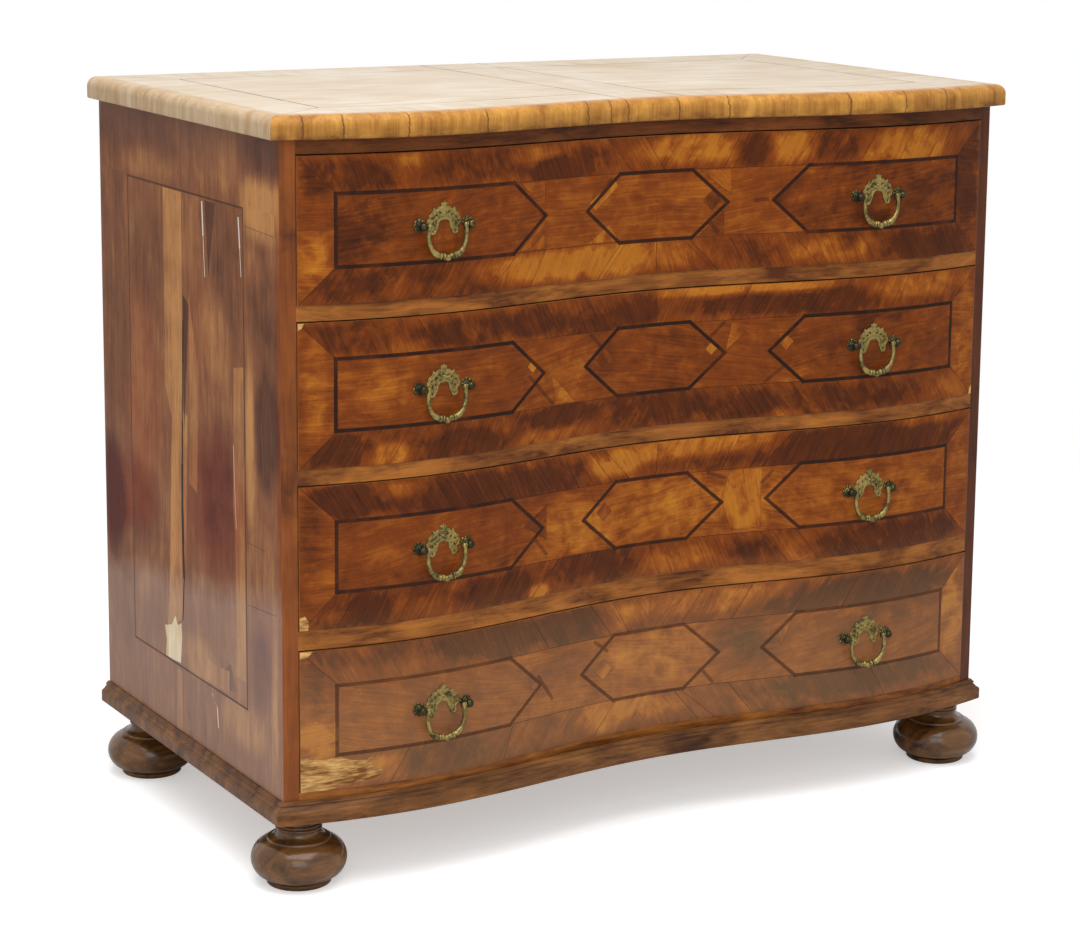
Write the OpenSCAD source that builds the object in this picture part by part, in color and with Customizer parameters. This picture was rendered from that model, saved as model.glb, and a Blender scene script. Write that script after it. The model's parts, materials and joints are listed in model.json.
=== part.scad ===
// Serpentine chest of drawers with four long drawers, cross-grain mouldings and bun feet.
// Lengths are in millimetres. +Z is up and the drawers open towards -Y.
// The origin lies on the floor, midway across the whole width and the whole depth.

/* [Carcass] */
// Width across the two sides
body_w = 1110; // [900:5:1400]
// Depth from the front corners to the back
body_d = 600; // [500:5:720]
// Thickness of each side
side_t = 20; // [16:1:28]
// Thickness of the back boards
back_t = 12; // [8:1:18]
// Width of the rebates that hold the back boards
rebate_w = 10; // [6:1:14]
// Number of back boards
back_count = 3; // [2:1:5]
// Thickness of the bottom board
bottom_t = 18; // [12:1:24]
// Depth of the housings cut in the sides
housing_d = 8; // [4:1:12]
// How far the housings stop behind the front edge
housing_stop = 15; // [8:1:24]

/* [Serpentine front] */
// How far the front swings forward and back
wave = 20; // [8:1:30]
// How much further forward the front stands between its corners
lift = 6; // [0:1:8]
// How much more the top swings than the front below it
top_swing = 1.15; // [1:0.05:1.4]
// How much the base moulding evens out the swing
base_ease = 4.75; // [0:0.25:7]
// Straight steps along each curved front
front_steps = 44; // [24:2:52]

/* [Heights] */
// Height of each drawer opening
opening_h = 189; // [130:1:220]
// Height of the two upper rails between the drawers
rail_h = 20; // [14:1:28]
// Height of the lower rail between the drawers
lower_rail_h = 25; // [14:1:32]
// Height of the rail above the top drawer
top_rail_h = 19; // [14:1:40]
// How much of the bottom rail shows above the base moulding
bottom_rail_show = 10; // [6:1:30]
// Height of the base moulding
base_h = 29; // [26:1:40]
// Thickness of the top
top_t = 30; // [24:1:40]
// Height of the feet
foot_h = 92; // [80:1:120]

/* [Rails and runners] */
// How far the rails reach behind the drawer stops
rail_back = 15; // [4:1:40]
// Width of each runner inside the carcass
runner_w = 24; // [16:1:40]
// Length of each drawer stop
stop_w = 40; // [20:1:80]
// Depth of each drawer stop from front to back
stop_d = 20; // [10:1:30]
// Height of each drawer stop
stop_h = 6; // [4:1:7]
// Distance of the drawer stops from the middle
stop_x = 260; // [120:5:340]

/* [Top and base mouldings] */
// How far the top overhangs the carcass
overhang = 17; // [12:1:24]
// How far the cross-grain edge reaches inside the carcass line
edge_in = 7; // [4:1:14]
// Radius of the rounding on the upper edge of the top
edge_round = 13; // [8:1:14]
// Radius of the rounding on the lower edge of the top
edge_under = 3; // [1:0.5:5]
// How far the base moulding stands out from the carcass
base_out = 13; // [10:0.5:18]
// Height of the plain lower part of the base moulding
fascia_h = 15; // [12:0.5:16]

/* [Drawers] */
// Thickness of the drawer fronts at their thinnest
front_min_t = 22; // [20:1:30]
// How far the drawer fronts stand forward of the rails
proud = 1.5; // [0:0.5:4]
// Thickness of the drawer sides and backs
drawer_side_t = 12; // [8:1:16]
// Thickness of the drawer bottoms
drawer_bottom_t = 8; // [5:1:12]
// Height of the drawer bottoms above the lower edge
bottom_up = 8; // [7:1:14]
// Depth of the grooves that hold the drawer bottoms
groove_d = 5; // [3:0.5:7]
// How far the drawer sides stop below the top of the front
side_drop = 8; // [2:1:20]
// Gap at each end of a drawer
gap_side = 1.2; // [0.5:0.1:3]
// Gap above a drawer front
gap_top = 2; // [1:0.5:4]
// Gap below a drawer
gap_below = 0.5; // [0.3:0.1:1]
// Space behind a closed drawer
gap_back = 10; // [4:1:40]
// Gap between a closed drawer front and its stops
gap_stop = 0.3; // [0.2:0.1:1]
// Play of a drawer bottom in its grooves
groove_play = 0.2; // [0.1:0.1:0.6]

/* [Dovetails] */
// Number of tails on each end of a drawer side
tail_count = 3; // [2:1:4]
// Length of the tails that enter the drawer front
tail_len = 24; // [12:1:25]
// Slope of the tails in degrees
tail_slope = 9; // [6:1:12]
// Share of the pitch that a tail takes at its root
tail_share = 0.62; // [0.5:0.02:0.66]

/* [Pulls] */
// Distance of each pull from the middle of the front
pull_x = 340; // [240:5:380]
// Distance between the two posts of a pull
post_gap = 70; // [66:1:90]
// Diameter of the knob on each post
knob_d = 11; // [9:0.5:13]
// Distance of the knobs from the drawer front
knob_out = 10.5; // [9.5:0.5:16]
// Diameter of the neck of each post
neck_d = 6.4; // [5:0.2:7]
// Diameter of the shank that passes through the drawer front
shank_d = 4; // [3:0.2:4.6]
// Play of the shank in its hole, on the radius
shank_play = 0.25; // [0.1:0.05:0.5]
// Diameter of the flower behind each post
rosette_d = 19; // [16:0.5:21]
// Number of petals on each flower
petals = 8; // [5:1:12]
// Width of the square nut behind the front
nut_w = 10; // [8:1:14]
// Thickness of the nut
nut_t = 4; // [3:0.5:6]

/* [Backplates] */
// Half the width of a pierced backplate
plate_half = 25; // [22:0.5:26]
// How far a backplate reaches above the posts
plate_up = 30; // [26:0.5:34]
// How far a backplate reaches below the posts
plate_down = 13; // [11:0.5:15]
// Thickness of a backplate
plate_t = 1.6; // [1:0.2:2.4]
// Radius of the arch cut in the lower edge of a backplate
arch_r = 8.5; // [7:0.5:10]

/* [Bails] */
// Half the width of a bail at its widest, on its centre line
bail_half = 28.2; // [27:0.2:31]
// Drop of a bail from its pivots to its centre line
bail_drop = 39.5; // [34:0.5:46]
// Radius of the bail's legs
bail_r = 2.8; // [2.2:0.1:3.4]
// How much the bail swells in its lower corners
bail_swell = 1.7; // [0:0.1:2.2]
// How much the beads and the boss stand out
bail_bead = 1.8; // [0:0.1:2.2]
// Diameter of the bail's pins
pin_d = 3.6; // [3:0.1:4]
// Play of a pin in its knob, on the radius
pin_play = 0.3; // [0.1:0.05:0.5]
// Gap between the end of a bail and its knob
bail_gap = 0.3; // [0.2:0.1:0.8]

/* [Feet] */
// Distance of each foot's axis from the outside of the carcass
foot_in_x = 35; // [32:1:60]
// Distance of the front feet's axis from the front corners
foot_in_front = 30; // [26:1:46]
// Distance of the rear feet's axis from the back
foot_in_rear = 70; // [50:1:110]
// Greatest radius of a foot
bun_r = 62.5; // [56:0.5:68]
// Radius of the rounding of the bun, seen in section
bun_round = 25.5; // [24:0.5:30]
// Radius of the pad under a foot
pad_r = 42; // [38:0.5:48]
// Height of the pad under a foot
pad_h = 6.5; // [4:0.5:12]
// Radius of the neck above the bun
foot_neck_r = 28; // [24:0.5:30]
// Radius of the rings at the top of a foot
foot_ring_r = 30.5; // [29:0.5:36]
// Radius of the collar on top of the bun
collar_r = 41.5; // [38:0.5:46]
// Diameter of the tenon on top of a foot
tenon_d = 22; // [16:1:26]
// Height of the tenon
tenon_h = 21; // [12:1:24]
// Play of the tenon in its hole, on the radius
tenon_play = 0.2; // [0.1:0.1:0.5]
// Width of the block above each rear foot
block_w = 95; // [70:5:140]
// Depth of the block above each rear foot
block_d = 130; // [120:5:180]

/* [Hidden] */
$fn = 48;

// Colours
walnut = "#8a4a22";
walnut_dark = "#6b3a20";
walnut_pale = "#c9974f";
pine = "#d2ae74";
brass = "#8f8448";

// Amount by which a cut runs past the face that it opens
through = 1;
left = -1;
right = 1;
drawer_count = 4;

// Heights of the carcass
base_z = foot_h;
first_floor = base_z + base_h + bottom_rail_show;
function rail_under(n) = n == drawer_count - 1 ? lower_rail_h : rail_h;
function floor_z(n) = n == drawer_count ? first_floor : floor_z(n + 1) + opening_h + rail_under(n);
top_z = floor_z(1) + opening_h + top_rail_h;
case_h = top_z - base_z;

// The front seen from above: how far it stands forward of its corners, and its slope
function swing(x, w = wave, l = lift) =
    -w * cos(540 * x / body_w) + l * (1 - pow(abs(2 * x / body_w), 6));
function slope(x, w = wave, l = lift) =
    w * 3 * PI / body_w * sin(540 * x / body_w)
    - l * 12 / body_w * pow(abs(2 * x / body_w), 5) * sign(x);

// A pull stands square to the front, at this angle to the X axis
pull_swing = swing(pull_x) + proud;
pull_turn = atan(slope(pull_x));
pull_reach = pull_swing + knob_out * cos(pull_turn)
    + post_gap / 2 * abs(sin(pull_turn)) + knob_d / 2;

// Depths: the box around the whole part is centred on the origin
rear_y = (body_d + pull_reach) / 2;
front_y = rear_y - body_d;
inner_half = body_w / 2 - side_t;
back_y = rear_y - back_t;
function line_y(x) = front_y - swing(x);

// Drawers
drawer_half = inner_half - gap_side;
drawer_inner_half = drawer_half - drawer_side_t;
front_h = opening_h - gap_top - gap_below;
drawer_side_h = front_h - side_drop;
drawer_in_y = line_y(0) - proud + front_min_t;
drawer_end_y = back_y - gap_back;
drawer_back_up = bottom_up + drawer_bottom_t + groove_play;
function drawer_z(n) = floor_z(n) + gap_below;
function pull_z(n) = drawer_z(n) + front_h / 2;

// Rails end behind the drawer stops
stop_y = drawer_in_y + gap_stop;
rail_y = stop_y + stop_d + rail_back;
runner_in = inner_half - runner_w;

// Stations along the front: the two corners, and even steps between the sides
stations = concat(
    [-body_w / 2],
    [for (i = [0:front_steps]) inner_half * (2 * i / front_steps - 1)],
    [body_w / 2]
);
last = len(stations) - 1;
rail_line = [for (i = [1:last - 1]) [stations[i], line_y(stations[i])]];

// A line that runs beside the front at distance d, mitred at the two corners
function mitre(w, l) = sqrt(1 + pow(slope(body_w / 2, w, l), 2)) - abs(slope(body_w / 2, w, l));
function outward(i, w, l) =
    i == 0 ? [-1, -mitre(w, l)]
    : i == last ? [1, -mitre(w, l)]
    : [-slope(stations[i], w, l), -1] / sqrt(1 + pow(slope(stations[i], w, l), 2));
function beside(i, d, w, l) =
    [stations[i], front_y - swing(stations[i], w, l)] + d * outward(i, w, l);

top_wave = wave * top_swing;
top_lift = lift * top_swing;
base_wave = wave - base_ease;
base_lift = lift + base_ease;

function arc(c, r, from, to, steps) =
    [for (i = [0:steps]) c + r * [cos(from + (to - from) * i / steps), sin(from + (to - from) * i / steps)]];

// Outer profile of the top, from its upper to its lower edge, as [distance out, height]
top_profile = concat(
    arc([overhang - edge_round, top_t - edge_round], edge_round, 90, 0, 6),
    arc([overhang - edge_under, edge_under], edge_under, 0, -90, 2)
);

// Outer profile of the base moulding, from its upper to its lower edge
bead_r = 1.4;
shoulder_r = 4.5;
ledge = base_out - 8;
base_arris = 1;
base_profile = concat(
    [[0, base_h], [ledge - bead_r, base_h]],
    arc([ledge, base_h - 2.5 * bead_r], bead_r, 110, -60, 4),
    [[ledge + 0.6, base_h - 4.4 * bead_r], [ledge + 2.4, base_h - 5.6 * bead_r]],
    arc([base_out - shoulder_r, fascia_h - 1], shoulder_r, 80, 0, 3),
    [[base_out, base_arris], [base_out - base_arris, 0]]
);

// A solid drawn through closed rings of points that all have the same count
module sweep(rings) {
    m = len(rings[0]);
    n = len(rings);
    points = [for (ring = rings) each ring];
    walls = [for (i = [0:n - 2], j = [0:m - 1]) each [
        [i * m + j, (i + 1) * m + j, (i + 1) * m + (j + 1) % m],
        [i * m + j, (i + 1) * m + (j + 1) % m, i * m + (j + 1) % m]
    ]];
    first_cap = [for (j = [0:m - 1]) j];
    last_cap = [for (j = [m - 1:-1:0]) (n - 1) * m + j];
    polyhedron(points, concat([first_cap], walls, [last_cap]));
}

// Moulding along the curved front: its back follows inner(i), its face the profile
module front_moulding(inner, profile, w, l, h) {
    rings = [for (i = [0:last]) concat(
        [[inner[i].x, inner[i].y, 0], [inner[i].x, inner[i].y, h]],
        [for (p = profile) let (q = beside(i, p.x, w, l)) [q.x, q.y, p.y]]
    )];
    sweep(rings);
}

// Straight moulding along the right side, mitred to the front one
module side_moulding(inner_d, profile, k, h) {
    reach = overhang + base_out;
    corner = [body_w / 2, front_y];
    intersection() {
        translate([body_w / 2, rear_y, 0]) rotate([90, 0, 0])
            linear_extrude(body_d + reach) polygon(concat([[inner_d, 0], [inner_d, h]], profile));
        translate([0, 0, -through]) linear_extrude(h + 2 * through) polygon([
            corner + inner_d * [1, -k],
            corner + reach * [1, -k],
            [body_w / 2 + reach, rear_y],
            [body_w / 2 + inner_d, rear_y]
        ]);
    }
}

// Top
top_inner = [for (i = [0:last]) beside(i, -edge_in, top_wave, top_lift)];

module top_board() {
    color(walnut_pale) translate([0, 0, top_z]) linear_extrude(top_t) polygon(concat(
        top_inner,
        [[body_w / 2 - edge_in, rear_y], [-body_w / 2 + edge_in, rear_y]]
    ));
}

module top_edge_front() {
    color(walnut_pale) translate([0, 0, top_z])
        front_moulding(top_inner, top_profile, top_wave, top_lift, top_t);
}

module top_edge_right() {
    color(walnut_pale) translate([0, 0, top_z])
        side_moulding(-edge_in, top_profile, mitre(top_wave, top_lift), top_t);
}

module top_edge_left() {
    mirror([1, 0, 0]) top_edge_right();
}

// Carcass
module housing(z, h, y) {
    translate([inner_half - through, y, z]) cube([housing_d + through, back_y - y, h]);
}

module carcass_side() {
    housing_y = front_y + housing_stop;
    difference() {
        translate([0, 0, base_z]) linear_extrude(case_h) polygon([
            [body_w / 2, front_y],
            [body_w / 2, rear_y],
            [inner_half + rebate_w, rear_y],
            [inner_half + rebate_w, back_y],
            [inner_half, back_y],
            [inner_half, line_y(inner_half)]
        ]);
        for (n = [1:drawer_count - 1]) housing(floor_z(n) - rail_under(n), rail_under(n), housing_y);
        housing(top_z - top_rail_h, top_rail_h, housing_y);
        housing(first_floor - bottom_t, bottom_t, housing_y);
        translate([inner_half - through, housing_y, base_z])
            cube([housing_d + through, rail_y - housing_y, first_floor - base_z]);
    }
}

module side_left() {
    color(walnut_dark) mirror([1, 0, 0]) carcass_side();
}

module side_right() {
    color(walnut_dark) carcass_side();
}

module back_boards() {
    seam = 0.3;
    board_h = case_h / back_count;
    color(pine) for (i = [0:back_count - 1])
        translate([-inner_half - rebate_w, back_y, base_z + i * board_h])
            cube([2 * (inner_half + rebate_w), back_t, board_h - (i < back_count - 1 ? seam : 0)]);
}

module bottom_board() {
    color(pine) translate([-inner_half - housing_d, rail_y, first_floor - bottom_t])
        cube([2 * (inner_half + housing_d), back_y - rail_y, bottom_t]);
}

// A rail whose face follows the front, with a stopped tongue at each end
module rail(z, h) {
    tongue = inner_half + housing_d;
    tongue_y = front_y + housing_stop;
    translate([0, 0, z]) linear_extrude(h) polygon(concat(rail_line, [
        [inner_half, tongue_y], [tongue, tongue_y], [tongue, rail_y],
        [-tongue, rail_y], [-tongue, tongue_y], [-inner_half, tongue_y]
    ]));
}

module top_rail() {
    color(walnut) rail(top_z - top_rail_h, top_rail_h);
}

module rail_below(n) {
    color(walnut) rail(floor_z(n) - rail_under(n), rail_under(n));
}

module rail_upper() {
    rail_below(1);
}

module rail_middle() {
    rail_below(2);
}

module rail_lower() {
    rail_below(3);
}

module bottom_rail() {
    color(walnut) difference() {
        rail(base_z, first_floor - base_z);
        for (s = [left, right]) foot_hole(s * foot_x, front_foot_y);
    }
}

module runner_bar(z, h) {
    for (s = [left, right])
        translate([s > 0 ? runner_in : -inner_half - housing_d, rail_y, z])
            cube([runner_w + housing_d, back_y - rail_y, h]);
}

module drawer_runners() {
    color(pine) for (n = [1:drawer_count - 1]) runner_bar(floor_z(n) - rail_under(n), rail_under(n));
}

module top_kickers() {
    color(pine) runner_bar(top_z - top_rail_h, top_rail_h);
}

module drawer_stops() {
    color(pine) for (n = [1:drawer_count], s = [left, right])
        translate([s * stop_x - stop_w / 2, stop_y, floor_z(n)]) cube([stop_w, stop_d, stop_h]);
}

// Base mouldings
base_inner = [for (x = stations) [x, line_y(x)]];

module base_moulding_front() {
    color(walnut_dark) translate([0, 0, base_z])
        front_moulding(base_inner, base_profile, base_wave, base_lift, base_h);
}

module base_moulding_right() {
    color(walnut_dark) translate([0, 0, base_z])
        side_moulding(0, base_profile, mitre(base_wave, base_lift), base_h);
}

module base_moulding_left() {
    mirror([1, 0, 0]) base_moulding_right();
}

// Feet
foot_x = body_w / 2 - foot_in_x;
front_foot_y = front_y + foot_in_front;
rear_foot_y = rear_y - foot_in_rear;
bun_c = [bun_r - bun_round, foot_h * 0.36];
bun_start = -asin(min(1, (bun_c.y - pad_h) / bun_round));
bun_end = acos((collar_r + 1 - bun_c.x) / bun_round);
collar_z = bun_c.y + bun_round * sin(bun_end);
ring_h = 4.6;
ring_depth = 2.5;
ring_drop = 6;
ring_count = 3;
cove_top = foot_h - ring_drop - ring_count * ring_h;

// Half section of a foot, from the floor up to the tenon
foot_section = concat(
    [[0, 0], [pad_r - 1, 0], [pad_r, 1], [pad_r, pad_h]],
    arc(bun_c, bun_round, bun_start, bun_end, 18),
    [[collar_r, collar_z + 0.4], [collar_r, collar_z + 2.4]],
    [for (a = [90:-15:0]) [
        collar_r - 1 - (collar_r - 1 - foot_neck_r) * cos(a),
        collar_z + 3.4 + (cove_top - collar_z - 3.4) * (1 - sin(a))
    ]],
    [for (k = [0:ring_count - 1]) each arc(
        [foot_ring_r - ring_depth, cove_top + (k + 0.5) * ring_h], ring_depth, -66, 66, 4
    )],
    [[foot_ring_r, foot_h - ring_drop + 0.5], [foot_ring_r, foot_h]],
    [[tenon_d / 2, foot_h], [tenon_d / 2, foot_h + tenon_h - 1],
    [tenon_d / 2 - 1, foot_h + tenon_h], [0, foot_h + tenon_h]]
);

module foot(x, y) {
    color(walnut_dark) translate([x, y, 0]) rotate_extrude() polygon(foot_section);
}

module foot_hole(x, y) {
    translate([x, y, base_z - through])
        cylinder(r = tenon_d / 2 + tenon_play, h = tenon_h + tenon_play + through);
}

module foot_front_left() {
    foot(-foot_x, front_foot_y);
}

module foot_front_right() {
    foot(foot_x, front_foot_y);
}

module foot_rear_left() {
    foot(-foot_x, rear_foot_y);
}

module foot_rear_right() {
    foot(foot_x, rear_foot_y);
}

module foot_blocks() {
    color(pine) for (s = [left, right]) difference() {
        translate([s > 0 ? inner_half - block_w : -inner_half, back_y - block_d, base_z])
            cube([block_w, block_d, first_floor - bottom_t - base_z]);
        foot_hole(s * foot_x, rear_foot_y);
    }
}

// Drawers
// Tails as seen on the side of a drawer, as [depth, height]; they point along dir
module tails(root, len, dir, from, to) {
    step = (to - from) / tail_count;
    half = step * tail_share / 2;
    flare = len * tan(tail_slope);
    tip = half + flare;
    for (i = [0:tail_count - 1]) translate([root, from + (i + 0.5) * step]) rotate(dir < 0 ? 180 : 0)
        polygon([[-through, -half], [0, -half], [len, -tip], [len, tip], [0, half], [-through, half]]);
}

module front_tails() {
    tails(drawer_in_y, tail_len, -1, 0, drawer_side_h);
}

module back_tails() {
    tails(drawer_end_y - drawer_side_t, drawer_side_t, 1, drawer_back_up, drawer_side_h);
}

// Turns an outline drawn as [depth, height] into a board on the right side of a drawer
module side_board(from, width) {
    translate([from, 0, 0]) rotate([90, 0, 90]) linear_extrude(width) children();
}

module bottom_space(play) {
    half = drawer_inner_half + groove_d - play;
    y = drawer_in_y - groove_d + play;
    translate([-half, y, bottom_up])
        cube([2 * half, drawer_end_y - y, drawer_bottom_t + groove_play - play]);
}

module drawer_front(n) {
    line = [for (i = [0:front_steps]) let (x = drawer_half * (2 * i / front_steps - 1)) [x, line_y(x) - proud]];
    color(walnut) translate([0, 0, drawer_z(n)]) difference() {
        linear_extrude(front_h)
            polygon(concat(line, [[drawer_half, drawer_in_y], [-drawer_half, drawer_in_y]]));
        side_board(drawer_inner_half, drawer_side_t + through) front_tails();
        mirror([1, 0, 0]) side_board(drawer_inner_half, drawer_side_t + through) front_tails();
        bottom_space(0);
        for (s = [left, right], t = [left, right])
            translate([0, 0, front_h / 2]) pull_frame(s) translate([t * post_gap / 2, -through, 0])
                rotate([-90, 0, 0]) cylinder(r = shank_d / 2 + shank_play, h = shank_len + 2 * through);
    }
}

module drawer_side(n) {
    back_root = drawer_end_y - drawer_side_t;
    color(pine) translate([0, 0, drawer_z(n)]) difference() {
        side_board(drawer_inner_half, drawer_side_t) {
            translate([drawer_in_y, 0]) square([back_root - drawer_in_y, drawer_side_h]);
            translate([back_root, 0]) square([drawer_side_t, drawer_back_up]);
            front_tails();
            back_tails();
        }
        bottom_space(0);
    }
}

module drawer_back(n) {
    color(pine) translate([0, 0, drawer_z(n)]) difference() {
        translate([-drawer_half, drawer_end_y - drawer_side_t, drawer_back_up])
            cube([2 * drawer_half, drawer_side_t, drawer_side_h - drawer_back_up]);
        side_board(drawer_inner_half, drawer_side_t + through) back_tails();
        mirror([1, 0, 0]) side_board(drawer_inner_half, drawer_side_t + through) back_tails();
    }
}

module drawer_bottom(n) {
    color(pine) translate([0, 0, drawer_z(n)]) bottom_space(groove_play);
}

// Pulls
// The place on the front where a pull is centred; local -Y points straight out of it
module pull_frame(s) {
    translate([s * pull_x, front_y - pull_swing, 0]) rotate([0, 0, -s * pull_turn]) children();
}

front_t_at_pull = drawer_in_y - (front_y - pull_swing);
shank_rise = post_gap / 2 * abs(sin(pull_turn));
shank_len = (front_t_at_pull + shank_rise) / cos(pull_turn) + nut_t + 3;
rosette_t = 3;

// Half section of a post, from the end of its shank to the tip of its knob
neck_meet = acos(neck_d / knob_d);
neck_free = knob_out - knob_d / 2 * sin(neck_meet) - rosette_t;
post_section = concat(
    [[0, -shank_len], [shank_d / 2 - 0.5, -shank_len], [shank_d / 2, 0.5 - shank_len], [shank_d / 2, 0]],
    [[rosette_d / 2 - 3, 0], [rosette_d / 2 - 3, rosette_t / 2], [rosette_d / 2 - 4.5, rosette_t]],
    [[neck_d / 2 + 1, rosette_t], [neck_d / 2, rosette_t + neck_free * 0.35]],
    [[neck_d / 2 + 0.8, rosette_t + neck_free * 0.7]],
    arc([0, knob_out], knob_d / 2, -neck_meet, 90, 12)
);

// A turned post with its flower, neck, drilled knob and shank; the pin enters from side t
module post(t) {
    petal_r = 0.92 * rosette_d / 2 / (1 + 1 / sin(180 / petals));
    difference() {
        union() {
            rotate([90, 0, 0]) linear_extrude(rosette_t / 2) for (i = [0:petals - 1])
                rotate(360 * i / petals) translate([rosette_d / 2 - petal_r, 0]) circle(r = petal_r);
            rotate([90, 90, 0]) rotate_extrude() polygon(post_section);
        }
        translate([t * (pin_depth + pin_play), -knob_out, 0]) rotate([0, -t * 90, 0])
            cylinder(r = pin_d / 2 + pin_play, h = knob_d);
    }
}

// The square nut lies against the flat back of the front, at station x of the pull
module nut(x) {
    face = (front_t_at_pull + x * sin(pull_turn)) / cos(pull_turn);
    tilt_room = nut_w / 2 * tan(abs(pull_turn)) + 0.1;
    translate([0, face + tilt_room, 0]) rotate([-90, 0, 0]) difference() {
        translate([-nut_w / 2, -nut_w / 2, 0]) cube([nut_w, nut_w, nut_t]);
        translate([0, 0, -through]) cylinder(d = shank_d + 0.2, h = nut_t + 2 * through);
    }
}

module posts(n) {
    color(brass) translate([0, 0, pull_z(n)]) for (s = [left, right]) pull_frame(s)
        for (t = [left, right]) translate([t * post_gap / 2, 0, 0]) {
            post(t);
            nut(s * t * post_gap / 2);
        }
}

// Outline of a pierced backplate, as [across, up]
module plate_outline() {
    dome_r = plate_half * 0.6;
    lobe_r = plate_half * 0.25;
    foot_r = plate_down * 0.4;
    difference() {
        union() {
            translate([0, plate_up * 0.2]) circle(r = dome_r);
            for (m = [0, 1]) mirror([m, 0]) {
                translate([plate_half * 0.46, plate_up * 0.42]) circle(r = lobe_r);
                translate([plate_half - lobe_r, plate_up * 0.08]) circle(r = lobe_r);
                translate([plate_half * 0.62, foot_r - plate_down]) circle(r = foot_r);
                translate([plate_half * 0.62 - foot_r, foot_r - plate_down]) square([2 * foot_r, plate_down]);
                polygon([
                    [plate_half * 0.48, plate_up * 0.56], [plate_half * 0.62, plate_up * 0.72],
                    [plate_half * 0.7, plate_up * 0.46]
                ]);
                polygon([
                    [plate_half * 0.72, plate_up * 0.24], [plate_half * 0.88, plate_up * 0.4],
                    [plate_half * 0.9, plate_up * 0.16]
                ]);
                translate([plate_half * 0.1, plate_up * 0.84]) circle(r = plate_half * 0.08);
            }
            translate([0, plate_up * 0.7]) circle(r = plate_half * 0.2);
            polygon([
                [-plate_half * 0.09, plate_up * 0.74], [0, plate_up], [plate_half * 0.09, plate_up * 0.74]
            ]);
        }
        translate([0, -plate_down * 0.2]) circle(r = arch_r);
        translate([-arch_r * 0.8, -plate_down - through]) square([arch_r * 1.6, plate_down * 0.8 + through]);
        translate([0, plate_up * 0.6]) circle(r = plate_half * 0.06);
        for (m = [0, 1]) mirror([m, 0]) {
            translate([plate_half * 0.27, plate_up * 0.48]) circle(r = plate_half * 0.085);
            translate([plate_half * 0.45, plate_up * 0.31]) circle(r = plate_half * 0.075);
            translate([plate_half * 0.71, plate_up * 0.1]) circle(r = plate_half * 0.085);
            translate([plate_half * 0.52, -plate_down * 0.02]) circle(r = plate_half * 0.05);
        }
    }
}

module plates(n) {
    color(brass) translate([0, 0, pull_z(n)]) for (s = [left, right])
        pull_frame(s) rotate([90, 0, 0]) linear_extrude(plate_t) plate_outline();
}

// Bails
// The centre line starts in the round end beside a knob, runs down one leg and along the bottom, as [x, z]
bail_power = 2.9;
bail_end = post_gap / 2 - knob_d / 2 - bail_gap;
pin_depth = 2.5;
collar_t = 1.6;
collar_over = 0.6;
end_steps = 3;
leg_steps = 7;
bottom_steps = 30;
leg_top = bail_end - bail_r;
leg_in = bail_half - leg_top;
corner_share = pow(0.5, 1 / bail_power);
function superellipse(u, a, b) = b * pow(1 - pow(abs(u / a), bail_power), 1 / bail_power);
function leg_x(z) = superellipse(z, bail_drop, bail_half)
    - leg_in * pow(max(0, 1 + 2 * z / bail_drop), 2);
end_line = [for (i = [end_steps:-1:1]) [leg_top, bail_r * sin(84 * i / end_steps)]];
leg_line = [for (i = [0:leg_steps]) let (z = -bail_drop * corner_share * i / leg_steps) [leg_x(z), z]];
bottom_line = [for (i = [1:bottom_steps - 1])
    let (x = bail_half * corner_share * (1 - 2 * i / bottom_steps))
    [x, -superellipse(x, bail_half, bail_drop)]];
right_half = concat(end_line, leg_line);
bail_last = 2 * len(right_half) + len(bottom_line) - 1;
bail_line = concat(
    right_half, bottom_line,
    [for (i = [len(right_half) - 1:-1:0]) [-right_half[i].x, right_half[i].y]]
);

// Radius of the bail, and how far its middle boss hangs down, at a point of its centre line
function bump(u, at, width) = exp(-pow((abs(u) - at) / width, 2));
function bail_radius(p) = p.y > 0 ? sqrt(pow(bail_r, 2) - pow(p.y, 2))
    : p.y > -bail_drop * 0.5 ? bail_r
    : bail_r + bail_swell * bump(p.x, 16.5, 5) + 0.3 * bump(p.x, 0, 12)
    + bail_bead * (bump(p.x, 10.2, 1.1) + bump(p.x, 6.2, 1.1) + bump(p.x, 0, 3));
function boss_dip(p) = p.y > -bail_drop * 0.5 ? 0 : bail_bead * bump(p.x, 0, 3.2);

// Direction of the centre line at point i; the round ends stand upright
function bail_dir(i) =
    i <= end_steps ? [0, -1]
    : i >= bail_last - end_steps ? [0, 1]
    : let (v = bail_line[i + 1] - bail_line[i - 1]) v / norm(v);
bail_sides = 8;

module bail(n, s) {
    rings = [for (i = [0:bail_last])
        let (p = bail_line[i], v = bail_dir(i), r = bail_radius(p), z = p.y - boss_dip(p))
        [for (j = [0:bail_sides - 1]) let (a = -360 * (j + 0.5) / bail_sides)
            [p.x - v.y * r * cos(a), r * sin(a), z + v.x * r * cos(a)]]];
    color(brass) translate([0, 0, pull_z(n)]) pull_frame(s) translate([0, -knob_out, 0]) {
        sweep(rings);
        for (t = [left, right]) translate([t * (bail_end - collar_t), 0, 0]) rotate([0, t * 90, 0]) {
            cylinder(r = bail_r + collar_over, h = collar_t);
            cylinder(d = pin_d, h = post_gap / 2 + pin_depth - bail_end + collar_t);
        }
    }
}

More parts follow.
